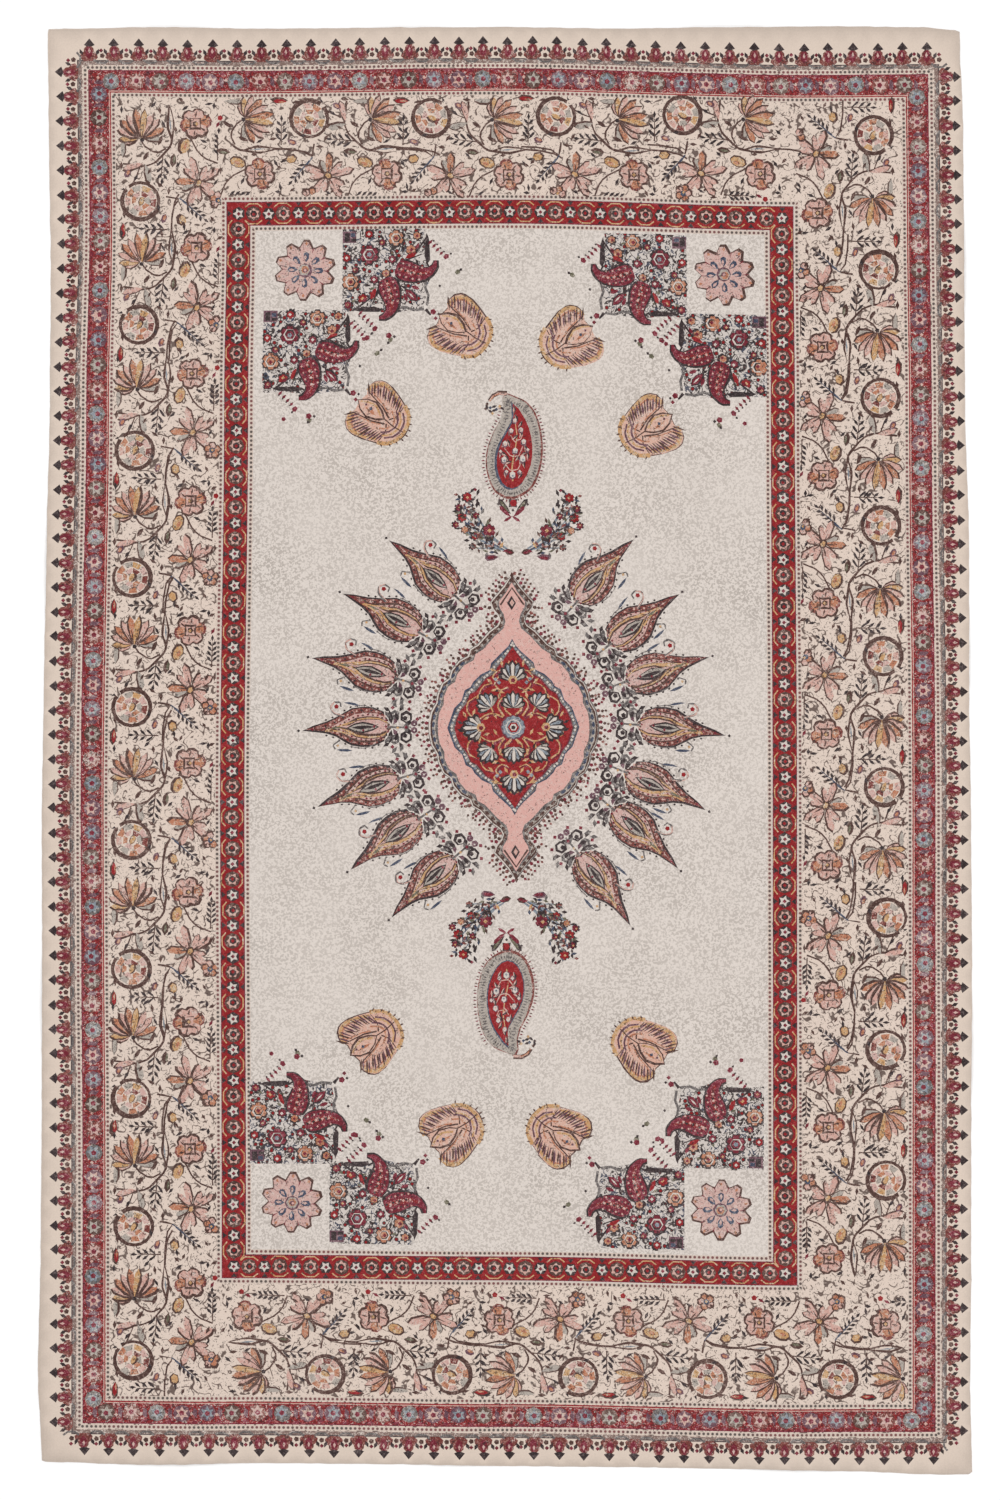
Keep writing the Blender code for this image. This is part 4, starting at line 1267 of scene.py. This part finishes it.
def cotton_surface(name, colour, thinning, overprint, bare, dark, thread_pitch):
    """Ink soaked into plain woven cotton: matt, uneven, with the ground showing through where it is thin."""
    material = bpy.data.materials.new(name)
    material.use_nodes = True
    tree = material.node_tree
    surface = tree.nodes["Principled BSDF"]
    place = add_node(tree, "ShaderNodeTexCoord").outputs["Object"]

    # Patches a hand wide, from uneven washing and sun
    broad = add_node(tree, "ShaderNodeTexNoise", {"Vector": place, "Scale": 1 / 0.11, "Detail": 2.0, "Roughness": 0.5})
    # Mottling of a few millimetres, where the block pressed unevenly
    mottle = add_node(tree, "ShaderNodeTexNoise", {"Vector": place, "Scale": 1 / 0.006, "Detail": 3.0, "Roughness": 0.62})
    # Ink that missed single threads
    grain = add_node(tree, "ShaderNodeTexNoise", {"Vector": place, "Scale": 1 / 0.0016, "Detail": 1.0, "Roughness": 0.5})

    pale = add_node(tree, "ShaderNodeMix", {"Factor": broad.outputs["Fac"], "A": rgba([v * 0.96 for v in bare]),
                                            "B": rgba([min(v * 1.05, 1.0) for v in bare])}, data_type="RGBA")
    base = pale.outputs["Result"]
    if thinning:
        # Dye filters the light that the cotton sends back, so its strength is a power of its colour
        wear = add_node(tree, "ShaderNodeMath", {0: mottle.outputs["Fac"], 1: grain.outputs["Fac"]}, operation="ADD")
        gone = add_node(tree, "ShaderNodeMapRange", {"Value": wear.outputs[0], "From Min": 0.94, "From Max": 1.30,
                                                     "To Min": 0.0, "To Max": thinning * 2.0})
        load = add_node(tree, "ShaderNodeAttribute", attribute_name="ink_load", attribute_type="GEOMETRY")
        cover = add_node(tree, "ShaderNodeMath", {0: load.outputs["Fac"], 1: gone.outputs[0]}, operation="SUBTRACT", use_clamp=True)
        filtered = [ink / under for ink, under in zip(colour, bare)]
        dye = add_node(tree, "ShaderNodeGamma", {"Color": rgba(filtered), "Gamma": cover.outputs[0]})
        dyed = add_node(tree, "ShaderNodeVectorMath", {0: base, 1: dye.outputs["Color"]}, operation="MULTIPLY")
        base = dyed.outputs[0]
    if overprint:
        # Fine dark strokes of the outline block, 2 to 4 mm long and too small for marks of their own
        flecks = add_node(tree, "ShaderNodeTexNoise", {"Vector": place, "Scale": 1 / 0.0034, "Detail": 1.0, "Roughness": 0.5, "Distortion": 1.2})
        limit = 0.66 - 0.17 * overprint
        strokes = add_node(tree, "ShaderNodeMapRange", {"Value": flecks.outputs["Fac"], "From Min": limit, "From Max": limit + 0.07,
                                                        "To Min": 0.0, "To Max": 0.72})
        over = add_node(tree, "ShaderNodeMix", {"Factor": strokes.outputs[0], "A": base, "B": rgba(dark)}, data_type="RGBA")
        base = over.outputs["Result"]
    shade = add_node(tree, "ShaderNodeMapRange", {"Value": grain.outputs["Fac"], "From Min": 0.3, "From Max": 0.7,
                                                  "To Min": 0.955, "To Max": 1.03})
    toned = add_node(tree, "ShaderNodeVectorMath", {0: base, "Scale": shade.outputs[0]}, operation="SCALE")
    colour_out = toned.outputs[0]

    # Plain weave: warp and weft cross at the thread pitch
    threads = []
    for direction in ("X", "Y"):
        threads.append(add_node(tree, "ShaderNodeTexWave", {"Vector": place, "Scale": 1 / (thread_pitch * 20), "Distortion": 0.6,
                                                            "Detail": 1.0, "Detail Scale": 2.0},
                                wave_type="BANDS", bands_direction=direction))
    weave = add_node(tree, "ShaderNodeMath", {0: threads[0].outputs["Fac"], 1: threads[1].outputs["Fac"]}, operation="MULTIPLY")
    slub = add_node(tree, "ShaderNodeMath", {0: weave.outputs[0], 1: mottle.outputs["Fac"]}, operation="ADD")
    bump = add_node(tree, "ShaderNodeBump", {"Height": slub.outputs[0], "Strength": 0.35, "Distance": 0.0003})
    tree.links.new(bump.outputs["Normal"], surface.inputs["Normal"])
    tree.links.new(colour_out, surface.inputs["Base Color"])
    surface.inputs["Roughness"].default_value = 0.92
    surface.inputs["Specular IOR Level"].default_value = 0.2
    surface.inputs["Sheen Weight"].default_value = 0.06
    surface.inputs["Sheen Roughness"].default_value = 0.6
    return material


def over_cotton(material, factor, colour):
    """Adds a fine pattern of a second colour between a cotton's own colour and its shader."""
    tree = material.node_tree
    surface = tree.nodes["Principled BSDF"]
    below = surface.inputs["Base Color"].links[0].from_socket
    mixed = add_node(tree, "ShaderNodeMix", {"Factor": factor, "A": below, "B": rgba(colour)}, data_type="RGBA")
    tree.links.new(mixed.outputs["Result"], surface.inputs["Base Color"])


def add_stipple(material, ink):
    """Fine worm-like stippling of the field, 3 to 4 mm apart, stronger in some patches than in others."""
    tree = material.node_tree
    place = add_node(tree, "ShaderNodeTexCoord").outputs["Object"]
    worms = add_node(tree, "ShaderNodeTexNoise", {"Vector": place, "Scale": 1 / 0.0032, "Detail": 0.0, "Roughness": 0.5, "Distortion": 0.7})
    lines = add_node(tree, "ShaderNodeMapRange", {"Value": worms.outputs["Fac"], "From Min": 0.46, "From Max": 0.58, "To Min": 0.0, "To Max": 1.0})
    patches = add_node(tree, "ShaderNodeTexNoise", {"Vector": place, "Scale": 1 / 0.16, "Detail": 3.0, "Roughness": 0.6})
    strength = add_node(tree, "ShaderNodeMapRange", {"Value": patches.outputs["Fac"], "From Min": 0.35, "From Max": 0.68, "To Min": 0.34, "To Max": 0.80})
    factor = add_node(tree, "ShaderNodeMath", {0: lines.outputs[0], 1: strength.outputs[0]}, operation="MULTIPLY")
    over_cotton(material, factor.outputs[0], ink)


def add_tendrils(material, ink):
    """Short curling strokes between the border's flowers, 1.5 mm wide and about 10 mm long."""
    tree = material.node_tree
    place = add_node(tree, "ShaderNodeTexCoord").outputs["Object"]
    curls = add_node(tree, "ShaderNodeTexNoise", {"Vector": place, "Scale": 1 / 0.016, "Detail": 0.0, "Distortion": 1.2})
    level = add_node(tree, "ShaderNodeMath", {0: curls.outputs["Fac"], 1: 0.5}, operation="SUBTRACT")
    size = add_node(tree, "ShaderNodeMath", {0: level.outputs[0]}, operation="ABSOLUTE")
    lines = add_node(tree, "ShaderNodeMapRange", {"Value": size.outputs[0], "From Min": 0.060, "From Max": 0.034, "To Min": 0.0, "To Max": 0.85})
    breaks = add_node(tree, "ShaderNodeTexNoise", {"Vector": place, "Scale": 1 / 0.009, "Detail": 0.0})
    kept = add_node(tree, "ShaderNodeMapRange", {"Value": breaks.outputs["Fac"], "From Min": 0.455, "From Max": 0.515, "To Min": 0.0, "To Max": 1.0})
    factor = add_node(tree, "ShaderNodeMath", {0: lines.outputs[0], 1: kept.outputs[0]}, operation="MULTIPLY")
    over_cotton(material, factor.outputs[0], ink)


def add_strewing(material, dark, blue, red, warm):
    """The corner pieces' ground: flower heads of 5 mm with dark rims, strewn 9 mm apart among curling stems."""
    tree = material.node_tree
    place = add_node(tree, "ShaderNodeTexCoord").outputs["Object"]
    heads = add_node(tree, "ShaderNodeTexVoronoi", {"Vector": place, "Scale": 1 / 0.0098, "Randomness": 0.85})
    parts = add_node(tree, "ShaderNodeSeparateColor", {0: heads.outputs["Color"]})
    curls = add_node(tree, "ShaderNodeTexNoise", {"Vector": place, "Scale": 1 / 0.0085, "Detail": 0.0, "Distortion": 1.6})
    level = add_node(tree, "ShaderNodeMath", {0: curls.outputs["Fac"], 1: 0.5}, operation="SUBTRACT")
    size = add_node(tree, "ShaderNodeMath", {0: level.outputs[0]}, operation="ABSOLUTE")
    stems = add_node(tree, "ShaderNodeMapRange", {"Value": size.outputs[0], "From Min": 0.090, "From Max": 0.045, "To Min": 0.0, "To Max": 0.95})
    hue = add_node(tree, "ShaderNodeMath", {0: parts.outputs["Green"], 1: 0.45}, operation="GREATER_THAN")
    stem_ink = add_node(tree, "ShaderNodeMix", {"Factor": hue.outputs[0], "A": rgba(blue), "B": rgba(dark)}, data_type="RGBA")
    surface = tree.nodes["Principled BSDF"]
    below = surface.inputs["Base Color"].links[0].from_socket
    stemmed = add_node(tree, "ShaderNodeMix", {"Factor": stems.outputs[0], "A": below, "B": stem_ink.outputs["Result"]}, data_type="RGBA")
    shown = add_node(tree, "ShaderNodeMath", {0: parts.outputs["Red"], 1: 0.2}, operation="GREATER_THAN")
    rim = add_node(tree, "ShaderNodeMapRange", {"Value": heads.outputs["Distance"], "From Min": 0.36, "From Max": 0.31, "To Min": 0.0, "To Max": 0.9})
    rim_shown = add_node(tree, "ShaderNodeMath", {0: rim.outputs[0], 1: shown.outputs[0]}, operation="MULTIPLY")
    rimmed = add_node(tree, "ShaderNodeMix", {"Factor": rim_shown.outputs[0], "A": stemmed.outputs["Result"], "B": rgba(dark)}, data_type="RGBA")
    turn = add_node(tree, "ShaderNodeMath", {0: parts.outputs["Blue"], 1: 0.6}, operation="GREATER_THAN")
    head_ink = add_node(tree, "ShaderNodeMix", {"Factor": turn.outputs[0], "A": rgba(red), "B": rgba(warm)}, data_type="RGBA")
    heart = add_node(tree, "ShaderNodeMapRange", {"Value": heads.outputs["Distance"], "From Min": 0.25, "From Max": 0.20, "To Min": 0.0, "To Max": 0.94})
    heart_shown = add_node(tree, "ShaderNodeMath", {0: heart.outputs[0], 1: shown.outputs[0]}, operation="MULTIPLY")
    filled = add_node(tree, "ShaderNodeMix", {"Factor": heart_shown.outputs[0], "A": rimmed.outputs["Result"], "B": head_ink.outputs["Result"]}, data_type="RGBA")
    tree.links.new(filled.outputs["Result"], surface.inputs["Base Color"])


def add_guard_dots(material, dark, warm):
    """A row of square dots along a guard line, 6.6 mm apart, read from the layout map."""
    tree = material.node_tree
    layout = add_node(tree, "ShaderNodeUVMap", uv_map="print_layout")
    parts = add_node(tree, "ShaderNodeSeparateXYZ", {0: layout.outputs["UV"]})
    pitch = 0.0066
    along = add_node(tree, "ShaderNodeMath", {0: parts.outputs["X"], 1: pitch / 2, 2: -pitch / 2}, operation="WRAP")
    spot = add_node(tree, "ShaderNodeCombineXYZ", {"X": along.outputs[0], "Y": parts.outputs["Y"]})
    reach = add_node(tree, "ShaderNodeVectorMath", {0: spot.outputs[0]}, operation="LENGTH")
    dots = add_node(tree, "ShaderNodeMapRange", {"Value": reach.outputs["Value"], "From Min": 0.0024, "From Max": 0.0017, "To Min": 0.0, "To Max": 0.86})
    place = add_node(tree, "ShaderNodeTexCoord").outputs["Object"]
    turns = add_node(tree, "ShaderNodeTexNoise", {"Vector": place, "Scale": 1 / 0.05, "Detail": 1.0})
    hue = add_node(tree, "ShaderNodeMapRange", {"Value": turns.outputs["Fac"], "From Min": 0.42, "From Max": 0.58})
    ink = add_node(tree, "ShaderNodeMix", {"Factor": hue.outputs[0], "A": rgba(dark), "B": rgba(warm)}, data_type="RGBA")
    surface = tree.nodes["Principled BSDF"]
    below = surface.inputs["Base Color"].links[0].from_socket
    mixed = add_node(tree, "ShaderNodeMix", {"Factor": dots.outputs[0], "A": below, "B": ink.outputs["Result"]}, data_type="RGBA")
    tree.links.new(mixed.outputs["Result"], surface.inputs["Base Color"])


# Settings, operators and panel


class PrintedClothSizes(bpy.types.PropertyGroup):
    """Sizes of the cloth's fine features."""

    thread_pitch: bpy.props.FloatProperty(
        name="Thread pitch", description="Distance between neighbouring threads of the weave",
        default=0.0008, min=0.0002, max=0.003, precision=5, unit="LENGTH")
    edge_waver: bpy.props.FloatProperty(
        name="Edge waver", description="How far the cut edge strays from its line",
        default=0.0007, min=0.0, max=0.003, precision=5, unit="LENGTH")


class PrintInkColours(bpy.types.PropertyGroup):
    """Colours of the cottons and of the inks on them."""

    __annotations__ = {
        name: bpy.props.FloatVectorProperty(name=name.replace("_", " ").capitalize(), description=words.capitalize(),
                                            default=linear_from_hex(colour), min=0.0, max=1.0, subtype="COLOR")
        for name, colour, _, _, words in INKS}


class StageSettings(bpy.types.PropertyGroup):
    """The studio."""

    camera_distance: bpy.props.FloatProperty(
        name="Camera distance", description="Height of the camera above the cloth", default=5.3125, min=1.0, unit="LENGTH")
    floor_size: bpy.props.FloatProperty(
        name="Floor size", description="Side of the square floor", default=14.0, min=4.0, unit="LENGTH")
    floor_colour: bpy.props.FloatVectorProperty(
        name="Floor colour", description="Colour of the plain floor", default=(0.97, 0.97, 0.97), min=0.0, max=1.0, subtype="COLOR")


class CLOTH_OT_lay_printed_cloth(bpy.types.Operator):
    """Lays the cotton sheet and prints it"""

    bl_idname = "cloth.lay_printed_cloth"
    bl_label = "Lay printed cloth"

    def execute(self, context):
        sizes = context.scene.printed_cloth_sizes
        inks = context.scene.print_ink_colours
        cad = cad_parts.get("printed_cloth")
        if cad is None:
            raise RuntimeError("The frame has no printed_cloth")
        mesh = build_cloth_mesh(sizes)
        bare = list(inks.spared_cotton)
        for name, _, thinning, overprint, _ in INKS:
            colour = list(getattr(inks, name))
            material = cotton_surface(name, colour, thinning, overprint, bare if thinning else colour,
                                      list(inks.iron_black), sizes.thread_pitch)
            mesh.materials.append(material)
            if name == "field_cotton":
                add_stipple(material, linear_from_hex("A69C94"))
            if name == "border_cotton":
                add_tendrils(material, list(inks.brown))
            if name == "strewn_cotton":
                add_strewing(material, list(inks.iron_black), list(inks.indigo), list(inks.madder_red), list(inks.orange))
            if name == "dotted_guard":
                add_guard_dots(material, list(inks.iron_black), list(inks.crimson))
        cloth = bpy.data.objects.new("block_printed_cloth", mesh)
        context.scene.collection.objects.link(cloth)
        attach(cloth, "root")
        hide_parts("printed_cloth")
        return {"FINISHED"}


class CLOTH_OT_set_stage(bpy.types.Operator):
    """Sets the floor, the light and the camera"""

    bl_idname = "cloth.set_stage"
    bl_label = "Set stage"

    def execute(self, context):
        scene = context.scene
        stage = scene.cloth_stage_settings
        bpy.ops.mesh.primitive_plane_add(size=stage.floor_size)
        floor = context.active_object
        if floor is None:
            raise RuntimeError("The floor was not made")
        floor.name = "floor"
        paint = bpy.data.materials.new("pale_floor")
        paint.use_nodes = True
        surface = paint.node_tree.nodes["Principled BSDF"]
        surface.inputs["Base Color"].default_value = (*stage.floor_colour, 1.0)
        surface.inputs["Roughness"].default_value = 0.9
        floor.data.materials.append(paint)

        world = bpy.data.worlds.new("soft_studio")
        world.use_nodes = True
        world.node_tree.nodes["Background"].inputs["Color"].default_value = (1.0, 1.0, 1.0, 1.0)
        world.node_tree.nodes["Background"].inputs["Strength"].default_value = 0.58
        scene.world = world
        for name, place, power, size in (("soft_left", (-3.4, 2.2, 3.6), 92.0, 3.0), ("soft_right", (3.6, 1.0, 3.6), 80.0, 3.0),
                                         ("soft_foot", (0.4, -4.2, 3.6), 68.0, 3.0)):
            light = bpy.data.lights.new(name, "AREA")
            light.energy = power
            light.size = size
            lamp = bpy.data.objects.new(name, light)
            lamp.location = place
            lamp.rotation_euler = (Vector((0, 0, 0)) - Vector(place)).to_track_quat("-Z", "Y").to_euler()
            scene.collection.objects.link(lamp)

        lens = bpy.data.cameras.new("camera")
        lens.sensor_fit = "VERTICAL"
        lens.sensor_height = 36.0
        lens.sensor_width = 24.0
        lens.lens = 85.0
        camera = bpy.data.objects.new("camera", lens)
        camera.location = (-0.0075, 0.00075, stage.camera_distance)
        scene.collection.objects.link(camera)
        scene.camera = camera
        scene.view_settings.view_transform = "Standard"
        return {"FINISHED"}


class CLOTH_PT_panel(bpy.types.Panel):
    """Shows the cloth's settings and its two operators"""

    bl_idname = "CLOTH_PT_panel"
    bl_label = "Block printed cloth"
    bl_space_type = "VIEW_3D"
    bl_region_type = "UI"
    bl_category = "Cloth"

    def draw(self, context):
        layout = self.layout
        for group in (context.scene.printed_cloth_sizes, context.scene.print_ink_colours, context.scene.cloth_stage_settings):
            box = layout.box()
            for name in group.__class__.__annotations__:
                box.prop(group, name)
        layout.operator(CLOTH_OT_lay_printed_cloth.bl_idname)
        layout.operator(CLOTH_OT_set_stage.bl_idname)


CLASSES = (PrintedClothSizes, PrintInkColours, StageSettings, CLOTH_OT_lay_printed_cloth, CLOTH_OT_set_stage, CLOTH_PT_panel)


def register():
    for cls in CLASSES:
        bpy.utils.register_class(cls)
    bpy.types.Scene.printed_cloth_sizes = bpy.props.PointerProperty(type=PrintedClothSizes)
    bpy.types.Scene.print_ink_colours = bpy.props.PointerProperty(type=PrintInkColours)
    bpy.types.Scene.cloth_stage_settings = bpy.props.PointerProperty(type=StageSettings)


def unregister():
    del bpy.types.Scene.cloth_stage_settings
    del bpy.types.Scene.print_ink_colours
    del bpy.types.Scene.printed_cloth_sizes
    for cls in reversed(CLASSES):
        bpy.utils.unregister_class(cls)


def main():
    register()
    bpy.ops.cloth.set_stage()
    bpy.ops.cloth.lay_printed_cloth()
    bpy.context.view_layer.update()


if __name__ == "__main__":
    main()
